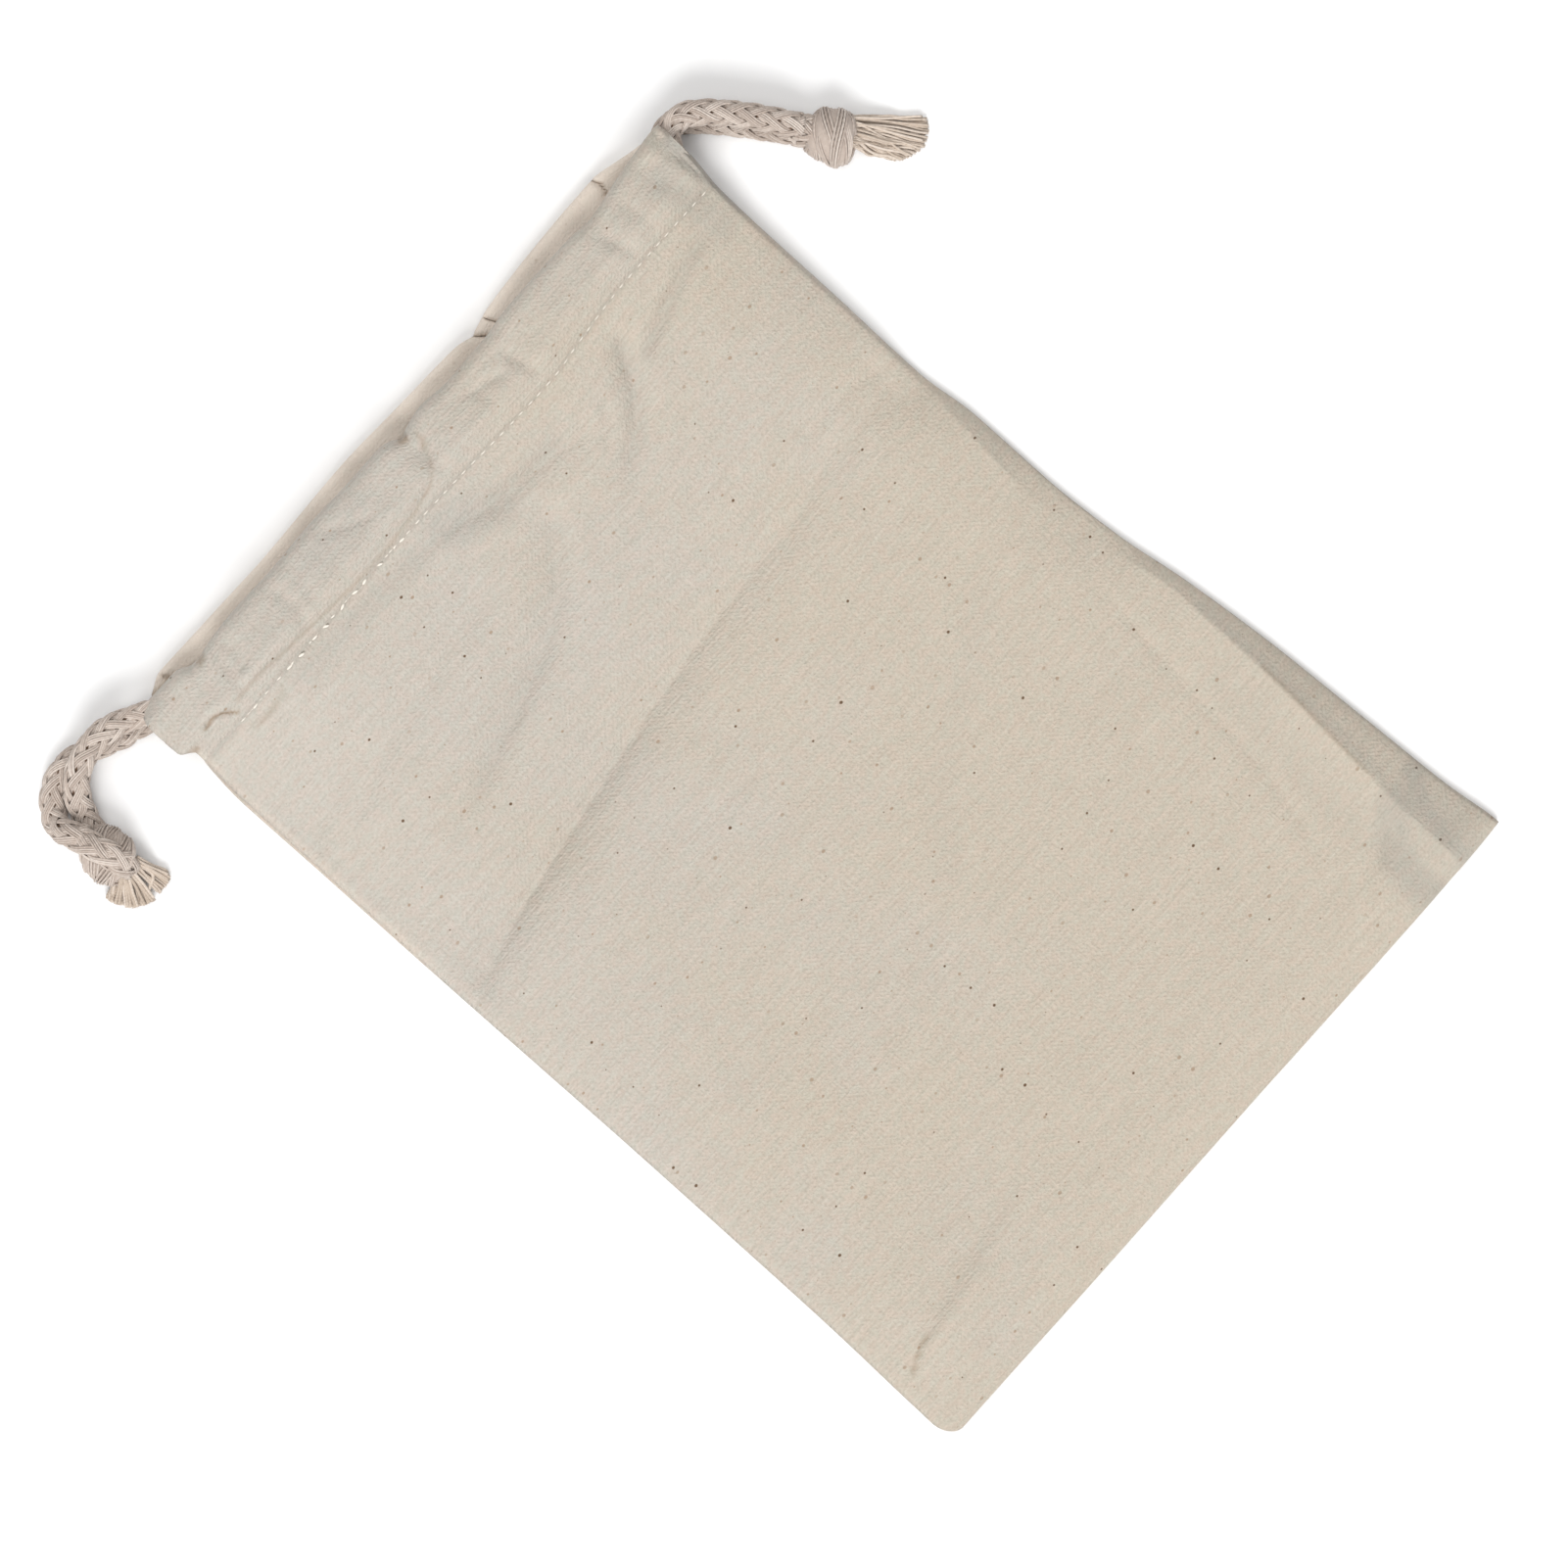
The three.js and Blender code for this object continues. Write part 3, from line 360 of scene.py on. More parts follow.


# %% [markdown]
# Light alone doesn't make the creases of this cloth as dark as they look, so shade is painted into the
# colour: the sharpest creases get a painted brown shadow line, and dents and troughs a painted soft grey
# shade, both stored in the mesh as one number a point.

# %% Painted shadow lines and painted shade
# Painted brown shadow lines in sharp creases of the front panel: points, half the line's width and how
# dark it is.
CREASE_SHADOW_LINES = [
    ([(-67.6, 88.9), (-65, 89.2), (-63.2, 88.6), (-61.2, 86.5)], 0.36, 0.8),
    ([(-61.5, 82.5), (-57, 82.2), (-52.5, 82.6)], 0.5, 0.35),
    ([(-59.5, 88.0), (-53, 88.1), (-48, 87.4), (-40, 86.6), (-30, 85.8), (-20, 85.6), (-12, 86.0),
      (-6, 87.3), (-3, 90), (-2, 93)], 0.4, 0.3),
    ([(-59.0, 97.4), (-58.2, 97.7)], 0.7, 0.6),
    ([(-4.2, 96.3), (-3.2, 95.9)], 0.7, 0.7),
    ([(-72.6, 87.9), (-71.4, 87.9)], 0.7, 0.6),
    ([(-0.9, 95.2), (-1.4, 92.5)], 0.5, 0.35),
    ([(-71.8, -87.4), (-69.5, -86.4), (-67, -85.4), (-64.4, -84.6)], 0.42, 0.5),
    ([(69.0, -50), (68.5, -60), (67.6, -70), (67.1, -78)], 0.34, 0.3),
]
# Painted soft grey shade in dents, troughs and folds: points, half the band's width and how dark it is.
SHADE_BANDS = [
    ([(58.0, -107), (58.5, -96), (61.0, -89.5), (66.0, -86.0)], 4.4, 0.24),
    ([(67.8, -107), (67.6, -97), (69, -90), (72.5, -84)], 2.2, 0.25),
    ([(67.0, -112), (67.0, -94)], 7.4, 0.14),
    ([(21, 62.6), (27, 66), (32, 71), (35.5, 76)], 2.0, 0.07),
    ([(33.5, 73), (36, 78)], 1.8, 0.14),
    ([(-48, 82.6), (-27, 80.8), (-12, 80.0), (-3, 77.5), (3, 75.5), (14, 75)], 2.6, 0.09),
    ([(-11, 80.0), (-6, 78.0), (-1, 75.5)], 4.0, 0.17),
    ([(38, 73.2), (47, 75.4), (54, 77.6), (62, 79.2)], 1.6, 0.13),
    ([(57, -104), (60, -84), (62, -60), (63, -48)], 5.5, 0.05),
    ([(-73.5, 80), (-73.5, 44)], 3.4, 0.07),
    ([(-42, 44.2), (-29, 47.5), (-14.7, 51.6), (-6, 56), (-1, 61), (2.5, 64.5)], 2.2, 0.07),
    ([(70.0, -34), (69.8, -48), (69.3, -60), (68.7, -72), (68.2, -80)], 1.1, 0.1),
    ([(3, -31), (15, -19), (34, -9), (44, -3)], 3.2, 0.035),
    ([(-32, 95), (-18, 94.5)], 2.6, 0.08),
    ([(64.6, 79), (64.8, 86), (64.0, 91)], 3.6, 0.18),
    ([(69.9, 78), (69.9, 95)], 1.6, 0.36),
]
# The same painted shadow lines for the mouth edge of the back panel.
BACK_CREASE_SHADOW_LINES = [
    ([(18.0, 100.9), (19.6, 99.2), (21.6, 97.2)], 0.30, 1.0),
    ([(23.3, 99.8), (24.3, 97.8)], 0.30, 0.8),
    ([(55.4, 101.8), (56.1, 100.4), (55.3, 97.3)], 0.32, 1.0),
    ([(-70.2, 100.6), (-67, 99.9), (-64.6, 99.7)], 0.7, 0.9),
    ([(-65.3, 101.3), (-64.6, 99.8), (-62, 98.6), (-59, 98.0)], 0.5, 0.7),
    ([(-4.5, 97.0), (0, 97.6), (4, 97.8)], 0.7, 0.25),
]


def line_mark(lines, x, y):
    """How much painted shade each place gets, from the lines that it lies in."""
    mark = np.zeros(len(x))
    for line, wide, dark in lines:
        away, _, _ = nearest(np.array(line, float), x, y)
        mark = np.maximum(mark, dark * (1 - smooth(0.3 * wide, 1.5 * wide, away)))
    return mark


# %% [markdown]
# The front panel is one sheet. It starts at the bottom seam, goes up the bag to the stitch line, over
# the cords, round the mouth edge and back down inside to the stitches. Its lower face follows the
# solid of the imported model, with the creases pressed in and the edges turned down into the seams.

# %% Width and height of the front panel
RIDGE_MOST = 4.0              # the cloth stands up this much at most where it turns down to the side seam
RELIEF = 1.9                  # all creases of the panel are made this much deeper than the table says
CASING_RELIEF = 2.3           # and those of the casing
SEAM_TURN = 1.6               # the cloth turns down into a seam within this distance


def left_edge(column, y):
    """The left edge of a panel, with the rounded corner at the bottom."""
    pull = CORNER * np.clip(1 - (y - CORNER_BOTTOM) / CORNER_TALL, 0, 1)
    return along(OUTLINE, column, y) + CORNER - np.sqrt(CORNER**2 - pull**2)


def from_side(x, y, left, right):
    """The distance to the nearer of two edges, which are given as columns of the outline."""
    return np.minimum(x - along(OUTLINE, left, y), along(OUTLINE, right, y) - x)


def seam_drop(away):
    """1 at a seam and 0 where the cloth lies free of it."""
    return np.clip(1 - away / SEAM_TURN, 0, 1) ** 2


def front_width(y, share, beyond):
    """Places by their share of the way to the side crease, and then of the way beyond it."""
    crease = along(OUTLINE, 2, y)
    right = along(OUTLINE, 3, y)
    return np.where(share < 1, mix(left_edge(1, y), crease, share), mix(crease, right, beyond))


def front_under(x, y):
    """The height of the front panel's underside, creases included."""
    left, crease, right = (along(OUTLINE, column, y) for column in (1, 2, 3))
    middle, side, rise = (along(LOFT, column, y) for column in (1, 2, 3))
    from_left = np.clip((x - left) / (rise * mix(1.9, 1, smooth(64, 83, y))), 0, 1)
    from_crease = np.clip((crease - x) / rise, 0, 1)
    wide = right - crease
    ridge = np.minimum(along(SIDE_SLOPE, 1, y) * wide, RIDGE_MOST) * smooth(BOTTOM - 1, BOTTOM + 4, y)
    ridge = np.maximum(ridge, mix(0.12, 0.50, smooth(30, 44, y)) * (middle - side))
    inside = mix(ridge, middle - side, from_crease * (2 - from_crease)) * from_left * (2 - from_left)
    strip = ridge * (1 - np.clip((x - crease) / wide, 0, 1))
    calm = smooth(0, 7, x - left) * smooth(0, 5, crease - x)
    sunk = RELIEF * crease_depth(CREASES, x, y) * calm
    return side + np.where(x > crease, strip, inside) - sunk


# %% [markdown]
# A grid is the natural start for cloth, because cloth has two thread directions: the rows and columns
# of the grid are put where the threads run, and Solidify gives it its thickness. The way over the
# cloth is measured for the cut panel's length, and the weave follows it round every fold.

# %% Making a sheet
MAP_SCALE = 0.01              # size of the sheet's own map, for a millimetre of cloth


def add_marks(mesh, marks):
    """Stores one number a point under each name, for the materials to read."""
    for name, values in marks.items():
        mesh.attributes.new(name, "FLOAT", "POINT").data.foreach_set("value", values.astype(np.float32))


def cloth_map(points):
    """A place on the flat cloth for each point, and the length of the flat cloth."""
    steps = np.linalg.norm(np.diff(points, axis=0), axis=2).mean(1)
    way = np.concatenate([[0], np.cumsum(steps)]) + BOTTOM
    return np.stack([points[:, :, 0], np.repeat(way[:, None], points.shape[1], 1)], 2), float(steps.sum())


def sheet_piece(name, points, uv, marks):
    """A grid of points becomes a sheet of cloth with two faces and a closed rim."""
    rows, columns = points.shape[:2]
    bpy.ops.object.select_all(action="DESELECT")
    bpy.ops.mesh.primitive_grid_add(x_subdivisions=columns - 1, y_subdivisions=rows - 1, size=0.1)
    piece = bpy.context.object
    piece.name = name
    mesh = piece.data
    mesh.vertices.foreach_set("co", (points * MM).astype(np.float32).ravel())
    corner = np.zeros(len(mesh.loops), np.int32)
    mesh.loops.foreach_get("vertex_index", corner)
    layer = mesh.uv_layers.active or mesh.uv_layers.new(name="cloth")
    layer.name = "cloth"
    layer.data.foreach_set("uv", (uv.reshape(-1, 2)[corner] * MAP_SCALE).astype(np.float32).ravel())
    add_marks(mesh, marks)
    mesh.update()
    solidify = piece.modifiers.new("thickness", "SOLIDIFY")
    solidify.thickness = THREAD_LAYER * MM
    solidify.offset = 0.0
    bpy.ops.object.modifier_apply(modifier=solidify.name)
    bpy.ops.object.shade_smooth()
    print(name, len(piece.data.polygons), "faces")
    return piece


# %% [markdown]
# The rows of the grid lie close where the cloth bends sharply: by the seams, over the cords and round
# the mouth edge. The columns lie close beside the left seam and on the strip beyond the side crease.

# %% Rows and columns of the front panel
FINE = 1.0
front_shares = np.concatenate([
    np.linspace(0, 0.02, 4), np.linspace(0.024, 0.085, int(18 / FINE)),
    np.linspace(0.0915, 0.994, int(136 / FINE)), (0.9975, 1.0),
])
strip_shares = np.array((0.04, 0.09, 0.2, 0.35, 0.5, 0.65, 0.8, 0.92, 1.0))
share_row = np.concatenate([front_shares, np.ones(len(strip_shares))])
beyond_row = np.concatenate([np.zeros(len(front_shares)), strip_shares])
SEAM_SHARE = 0.0235           # the rows by the bottom seam end at this share of the way up
body_steps = np.concatenate([
    SEAM_SHARE * np.linspace(0, 0.9, 10) ** 2, np.linspace(SEAM_SHARE, 1, int(190 / FINE)),
])
over_steps = np.linspace(0, 1, int(28 / FINE))[1:]
nose_steps = np.linspace(0, 1, 13)[1:]
inner_steps = np.linspace(0, 1, int(16 / FINE))[1:]
print("front panel", len(share_row), "columns")

# %% [markdown]
# In the casing the cloth is pulled tight over two cords and down to the stitches. Its outer layer is
# therefore never allowed lower than the cords under it.

# %% One row of the front panel
NOSE = 3.2                    # how far in from the mouth edge the casing starts to round over
TIP = 1.4                     # height of the very edge, which is pressed low
CREST = 5.9                   # height of the casing's outer layer at its highest
EDGE_START = 4.5              # and where it starts to round over to the mouth
PINCH = 2.4                   # height of the outer layer where the stitches hold it down
HEM_GAP = 0.62                # the inner layer lies this much lower there
CORD_REACH = 2.6              # half the width over which a pressed cord holds the cloth up
CORD_HALF = 1.3               # half its height
OVER_CORD = 0.42              # from the cord to the middle of the cloth over it
# The tables by x are read where each column of the grid is at half height, or by the mouth.
column_x = front_width(np.zeros(len(share_row)), share_row, beyond_row)
mouth_x = front_width(np.full(len(share_row), 97.0), share_row, beyond_row)
stitch = along(ACROSS, 2, column_x)
mouth = along(FRONT_MOUTH, 1, mouth_x)
bottom = BOTTOM + along(ACROSS, 1, column_x)


def over_cords(x, y):
    """The lowest that the outer layer may lie, so that the cords inside stay covered."""
    lowest = np.zeros(len(x))
    for route in (LEFT_ROUTE, RIGHT_ROUTE):
        upper = np.array([point for point in route if point[2] > 8.6 and abs(point[0]) < 68.0])
        upper = upper[np.argsort(upper[:, 0])]
        middle = np.interp(x, upper[:, 0], upper[:, 1])
        height = np.interp(x, upper[:, 0], upper[:, 2])
        inside = np.clip(1 - ((y - middle) / CORD_REACH) ** 2, 0, 1)
        top = np.where(inside > 0, height + CORD_HALF * np.sqrt(inside) + OVER_CORD, 0)
        lowest = np.maximum(lowest, top)
    return lowest


def stitch_groove(y):
    """The stitches pull a fine groove into the cloth."""
    return 0.12 * np.exp(-(((y - stitch) / 0.9) ** 2))


def front_row(y, height, outer):
    """Heights are over the underside of the panel; the outer layer has the casing's creases."""
    x = front_width(y, share_row, beyond_row)
    z = front_under(x, y) + height
    if outer:
        z = z - CASING_RELIEF * crease_depth(CASING_CREASES, x, y) * smooth(0.0, 3.0, y - stitch)
    z = z - 0.45 * seam_drop(from_side(x, y, 1, 3)) * (1 - smooth(-3, 0, y - stitch))
    return x, z


# %% [markdown]
# Now the cloth is walked from the bottom seam to the end of its hem, in four stretches: the body of
# the bag, the casing over the cords, the round mouth edge, and the inner layer of the casing.

# %% Rows of the front panel
front_points = []
for t in body_steps:
    y = mix(bottom, stitch, t)
    rise = mix(0.5, PINCH, smooth(-13.0, 1.0, y - stitch)) - stitch_groove(y) - 0.6 * seam_drop(y - bottom)
    x, z = front_row(y, rise, False)
    wave = 0.10 * soft_noise(x, y, 26, 3) + 0.05 * soft_noise(x, y, 9, 5)
    calm = smooth(0, 12, y - bottom) * smooth(0, 7, stitch - y + 1) * smooth(0, 8, from_side(x, y, 1, 2))
    front_points.append(np.stack([x, y, z + wave * calm], 1))
for t in over_steps:
    y = mix(stitch, mouth - NOSE, t)
    above = y - stitch
    rise = mix(PINCH, CREST, smooth(-3.0, 5.0, above)) - stitch_groove(y)
    rise = rise - mix(0, CREST - EDGE_START, np.clip((above - 4.5) / (mouth - NOSE - stitch - 4.5), 0, 1))
    x, z = front_row(y, rise, True)
    wave = 0.10 * soft_noise(x, y, 11, 8) + 0.05 * soft_noise(x, 2 * y, 5, 9)
    z = z + wave * smooth(1, 5, above) - 0.1
    front_points.append(np.stack([x, y, np.maximum(z, over_cords(x, y))], 1))
for t in nose_steps:
    turn = mix(math.pi / 2, -math.pi / 2, t)
    y = mouth - NOSE + NOSE * math.cos(turn)
    half = EDGE_START - TIP if t < 0.5 else TIP - LOWEST
    x, z = front_row(y, TIP + half * math.sin(turn), t < 0.6)
    lowest = over_cords(x, y) if t < 0.5 else 0
    front_points.append(np.stack([x, y, np.maximum(z - 0.1 * (1 - t), lowest)], 1))
for t in inner_steps:
    y = mix(mouth - NOSE, stitch - 0.6, t)
    x, z = front_row(y, mix(PINCH - HEM_GAP, LOWEST, smooth(0, 1.7, y - stitch)), False)
    front_points.append(np.stack([x, y, z], 1))
front_points = np.array(front_points)
print("front panel", len(front_points), "rows")

# %% [markdown]
# The painted shadow lines and the painted shade belong to the outer layer alone. Along the left edge the
# folded cloth is painted a little warmer and paler, as painted light, because light comes through it.

# %% The front panel
front_x, front_y, _ = front_points.reshape(-1, 3).T
outer_rows = len(body_steps) + len(over_steps) + len(nose_steps) // 2
outside = np.repeat(np.arange(len(front_points)) < outer_rows, len(share_row))
past_crease = smooth(-0.3, 0.5, front_x - along(OUTLINE, 2, front_y))
# Painted shade on the strip past the side crease.
fold_shade = 0.03 * past_crease * smooth(4, 16, front_y) * smooth(33, 24, front_y)
by_left_edge = np.clip(1 - (front_x - along(OUTLINE, 1, front_y)) / SEAM_TURN, 0, 1)
front_marks = {
    "deep": line_mark(CREASE_SHADOW_LINES, front_x, front_y) * outside,
    "shade": (line_mark(SHADE_BANDS, front_x, front_y) + fold_shade) * outside,
    "painted_light": 0.3 * by_left_edge * smooth(22, 36, front_y) * smooth(90, 86, front_y),
}
front_uv, front_length = cloth_map(front_points)
front_cloth = sheet_piece("front_cloth", front_points, front_uv, front_marks)

# %% [markdown]
# The back panel lies on the table. Its hem turns over on the inside, so from above only its mouth edge
# shows, a little higher up than the front one. It is made in the same way, from fewer rows, with more
# columns where the mouth edge has its notches.

# %% Width and height of the back panel
BACK_STITCH = 87.6            # the back casing's own row of stitches
BACK_NOSE = 1.5               # how far in from the mouth edge the cloth starts to turn over
BACK_HEM = LOWEST + THREAD_LAYER   # the hem lies on the layer below it
MOUTH_LEFT = -69.6            # where the mouth edge starts
MOUTH_WIDE = 134.6            # and how long it is
back_shares = np.linspace(0, 1, int(120 / FINE))
by_mouth = [np.linspace(18.4, 25.4, 29), np.linspace(54.2, 57.2, 13), np.linspace(-69.5, -62, 16)]
back_shares = np.union1d(back_shares, (np.concatenate(by_mouth) - MOUTH_LEFT) / MOUTH_WIDE)
back_shares = back_shares[(back_shares >= 0) & (back_shares <= 1)]
back_shares = back_shares[np.concatenate([[True], np.diff(back_shares) > 0.0009])]
back_shares[-1] = 1.0
# Creases of its hem: the cloth is notched where the mouth edge was folded.
BACK_NOTCHES = [
    ("left of the notch", [(17.5, 101.2), (19.3, 99.5), (21.6, 97.2), (22.4, 95.5)], 1.9, 1.0, 0.8),
    ("right of the notch", [(23.0, 103), (23.3, 100), (24.3, 97.6), (24.8, 95.5)], 1.5, 0.7, 1.0),
    ("right crease", [(55.2, 104), (55.6, 101.4), (56.1, 100.2), (55.3, 97.4), (55.0, 95)], 1.8, 1.3, 0.8),
    ("left fold", [(-70.5, 100.4), (-67, 101.3), (-64.5, 100.2), (-63, 98)], 1.4, 1.0, 1.6),
    ("second left fold", [(-66.0, 102.5), (-65.2, 100.5), (-64.0, 98.5)], 1.0, 0.8, 0.8),
    ("left band", [(-38, 103), (-36, 96)], 0.5, 4.0, 4.0),
    ("middle band", [(0, 103), (-2, 96)], 0.4, 4.0, 5.0),
]


def blunt(value):
    """Makes a round edge a little squarer, as a pressed fold is."""
    return math.copysign(abs(value) ** 0.65, value)


def back_width(y):
    """Places across the back panel."""
    return mix(left_edge(4, y), along(OUTLINE, 5, y), back_shares)


def back_row(y, height, hem, lowest=LOWEST):
    """One row of the back panel; its hem has the notches of the mouth edge."""
    x = back_width(y)
    z = height + along(LOFT, 4, y) * (1 - smooth(0, 6, from_side(x, y, 4, 5)))
    if hem:
        z = z - crease_depth(BACK_NOTCHES, x, y) - 0.12 * (1 + soft_noise(x, y, 9, 12))
    return np.stack([x, y, np.maximum(z, lowest)], 1)


back_mouth = along(BACK_MOUTH, 1, mix(along(OUTLINE, 4, 100.0), along(OUTLINE, 5, 100.0), back_shares))
back_bottom = BOTTOM + along(ACROSS, 1, back_width(np.zeros(len(back_shares))))
print("back panel", len(back_shares), "columns")

# %% [markdown]
# Its rows are walked the same way: the body of the bag, the mouth edge, and the hem that comes back
# down to the stitches.

# %% The back panel
back_points = []
for t in np.linspace(0, 1, int(140 / FINE)):
    y = mix(back_bottom, back_mouth - BACK_NOSE, t)
    x = back_width(y)
    rise = 0.35 * seam_drop(from_side(x, y, 4, 5)) * (1 - smooth(84, 87, y))
    rise = rise + 0.3 * seam_drop(y - back_bottom) + 0.06 * (1 + soft_noise(x, y, 30, 21))
    back_points.append(back_row(y, LOWEST + rise, False))
for t in nose_steps:
    turn = mix(-math.pi / 2, math.pi / 2, t)
    y = back_mouth - BACK_NOSE + BACK_NOSE * blunt(math.cos(turn))
    rise = 0.5 * CASING + (0.5 * CASING - LOWEST) * blunt(math.sin(turn))
    back_points.append(back_row(y, rise, t > 0.35))
for t in np.linspace(0, 1, int(22 / FINE))[1:]:
    y = mix(back_mouth - BACK_NOSE, BACK_STITCH - 0.6, t)
    rise = mix(BACK_HEM, CASING - LOWEST, smooth(-0.4, 2.4, y - BACK_STITCH))
    back_points.append(back_row(y, rise, True, BACK_HEM))
back_points = np.array(back_points)
back_uv, back_length = cloth_map(back_points)
back_points, back_uv = back_points[:, ::-1], back_uv[:, ::-1]
back_x, back_y, back_z = back_points.reshape(-1, 3).T
back_marks = {
    "shade": np.zeros(len(back_x)),
    "deep": line_mark(BACK_CREASE_SHADOW_LINES, back_x, back_y) * (back_z > LOWEST),
    # Painted light: the back's mouth edge, in the front casing's shade, is tinted warmer and paler.
    "painted_light": smooth(94, 97, back_y) * (0.75 + 0.2 * soft_noise(back_x, back_y, 12, 6)),
}
back_cloth = sheet_piece("back_cloth", back_points, back_uv, back_marks)

# %% [markdown]
# Cords, knots and loose yarns are all made of tubes, and a tube starts as a curve through the points
# of a route. Two directions across the curve go with it. They turn as little as possible on the way,
# so the tube isn't twisted.

# %% Curves
def smooth_line(points, step):
    """A curve through the points, resampled at even steps. Returns places and walked lengths."""
    points = np.array(points, float)
    ends = [2 * points[0] - points[1], *points, 2 * points[-1] - points[-2]]
    fine = []
    for p0, p1, p2, p3 in zip(ends[:-3], ends[1:-2], ends[2:-1], ends[3:]):
        t1 = np.linalg.norm(p1 - p0) ** 0.5
        t2 = t1 + np.linalg.norm(p2 - p1) ** 0.5
        t3 = t2 + np.linalg.norm(p3 - p2) ** 0.5
        t = np.linspace(t1, t2, 30, endpoint=False)[:, None]
        a1 = (t1 - t) / t1 * p0 + t / t1 * p1
        a2 = (t2 - t) / (t2 - t1) * p1 + (t - t1) / (t2 - t1) * p2
        a3 = (t3 - t) / (t3 - t2) * p2 + (t - t2) / (t3 - t2) * p3
        b1 = (t2 - t) / t2 * a1 + t / t2 * a2
        b2 = (t3 - t) / (t3 - t1) * a2 + (t - t1) / (t3 - t1) * a3
        fine.append((t2 - t) / (t2 - t1) * b1 + (t - t1) / (t2 - t1) * b2)
    fine = np.concatenate([*fine, points[-1:]])
    way = walked(fine)
    even = np.linspace(0, way[-1], max(2, int(round(way[-1] / step)) + 1))
    return np.stack([np.interp(even, way, fine[:, k]) for k in range(3)], 1), even


def frames(line):
    """Directions along a line, and two directions across it that turn as little as possible."""
    ahead = np.gradient(line, axis=0)
    ahead /= np.linalg.norm(ahead, axis=1)[:, None]
    side = np.cross(ahead[0], (0, 0, 1.0))
    if np.linalg.norm(side) < 0.1:
        side = np.array((1.0, 0, 0))
    sides = []
    for way in ahead:
        side = side - way * side.dot(way)
        side = side / np.linalg.norm(side)
        sides.append(side)
    sides = np.array(sides)
    return ahead, sides, np.cross(ahead, sides)


def level_frame(line, axis=None):
    """The direction level across a line and the one over it; or across it along one given axis."""
    ahead, side, _ = frames(line)
    if axis is None:
        level = np.stack([-ahead[:, 1], ahead[:, 0], np.zeros(len(line))], 1)
        level = np.where(np.linalg.norm(level, axis=1)[:, None] < 0.5, side, level)
    else:
        level = np.array(axis) - ahead * (ahead @ np.array(axis))[:, None]
    level = level / np.linalg.norm(level, axis=1)[:, None]
    return level, np.cross(ahead, level)


# %% [markdown]
# A tube is a ring of points for each place on the line. Two neighbouring rings are joined by a wall of
# quads, and the first and the last ring are closed by a fan of triangles.

# %% Tubes
def oval_tube(line, across, over, sides):
    """A closed tube round a line; the two directions are as long as half its width and height."""
    turns = np.linspace(0, 2 * math.pi, sides, endpoint=False)[:, None]
    rings = line[:, None] + np.cos(turns) * across[:, None] + np.sin(turns) * over[:, None]
    i, j = np.meshgrid(np.arange(len(line) - 1), np.arange(sides), indexing="ij")
    k = (j + 1) % sides
    wall = np.stack([i, i, i + 1, i + 1], -1) * sides + np.stack([j, k, k, j], -1)
    last = (len(line) - 1) * sides
    caps = [[0, n + 1, n, n] for n in range(1, sides - 1)]
    caps += [[last, last + n, last + n + 1, last + n + 1] for n in range(1, sides - 1)]
    return rings.reshape(-1, 3), np.concatenate([wall.reshape(-1, 4), caps])


def mesh_piece(name, points, faces, marks):
    """A smooth piece from points in millimetres. A face may name its last point twice."""
    mesh = bpy.data.meshes.new(name)
    mesh.from_pydata((points * MM).tolist(), [], [tuple(dict.fromkeys(face)) for face in faces])
    mesh.update()
    add_marks(mesh, marks)
    piece = bpy.data.objects.new(name, mesh)
    bpy.context.collection.objects.link(piece)
    for polygon in mesh.polygons:
        polygon.use_smooth = True
    print(name, len(mesh.polygons), "faces")
    return piece


# %% [markdown]
# A drawstring is a tube braided from twelve bundles of soft yarn, six going each way round. A bundle
# passes over two others and under two, and because that happens at fixed places round the cord, the
# bundles stand in columns that lean left and right in turn. Each yarn is a thin tube of its own.

# %% Braid
CORD_WIDE = 5.0               # width of a free cord
BUNDLES = 6                   # bundles that go each way round
YARNS = 4                     # yarns side by side in a bundle
YARN = 0.44                   # width of a yarn
TURN_EVERY = 25.0             # length of cord in which a bundle goes once round
LIFT = 0.28                   # how far a bundle rises and dips as it passes over and under
SUDDEN = 2.4                  # how quickly it changes from over to under
PACKED = 0.96                 # distance between two yarns side by side, for their width


def braid(line, way, width, height, span, seed, turn_every=TURN_EVERY, yarns=YARNS, yarn_wide=YARN,
          axis=None):
    """The yarns of a braided cord over one stretch of it: their lines, half widths and tones."""
    draw = np.random.default_rng(seed)
    radius = 0.5 * CORD_WIDE + 0.05
    _, side, up = frames(line)
    level, over = level_frame(line, axis)
    if axis is not None:
        side, up = level, over
    shown = (way >= span[0]) & (way <= span[1])
    lean = math.atan(2 * math.pi * radius / turn_every)
    made = []
    for direction in (1, -1):
        for bundle in range(BUNDLES):
            drift = sum(
                0.03 * np.sin(2 * math.pi * way / draw.uniform(9, 22) + draw.uniform(0, 6.3))
                for _ in range(2)
            )
            for yarn in range(yarns):
                offset = (yarn - 0.5 * (yarns - 1)) * PACKED * yarn_wide
                angle = 2 * math.pi * (bundle / BUNDLES + direction * way / turn_every) + drift
                column = angle * BUNDLES / (2 * math.pi)
                outer = direction * np.cos(2 * math.pi * (2 * column - 0.5) / 4)
                lift = np.tanh(SUDDEN * outer) / math.tanh(SUDDEN)
                proud = 0.09 * (1 - abs(2 * yarn / max(1, yarns - 1) - 1)) + draw.uniform(-0.05, 0.05)
                off = radius - 0.5 * yarn_wide - LIFT + LIFT * lift + proud
                angle = angle + offset / (radius * math.cos(lean))
                push = off[:, None] * (np.cos(angle)[:, None] * side + np.sin(angle)[:, None] * up)
                across = (push * level).sum(1)[:, None] * (width / CORD_WIDE)[:, None] * level
                upward = (push * over).sum(1)[:, None] * (height / CORD_WIDE)[:, None] * over
                tone = np.clip(0.5 + 0.28 * draw.normal(), 0, 1)
                made.append(((line + across + upward)[shown], 0.5 * yarn_wide, tone))
    return made
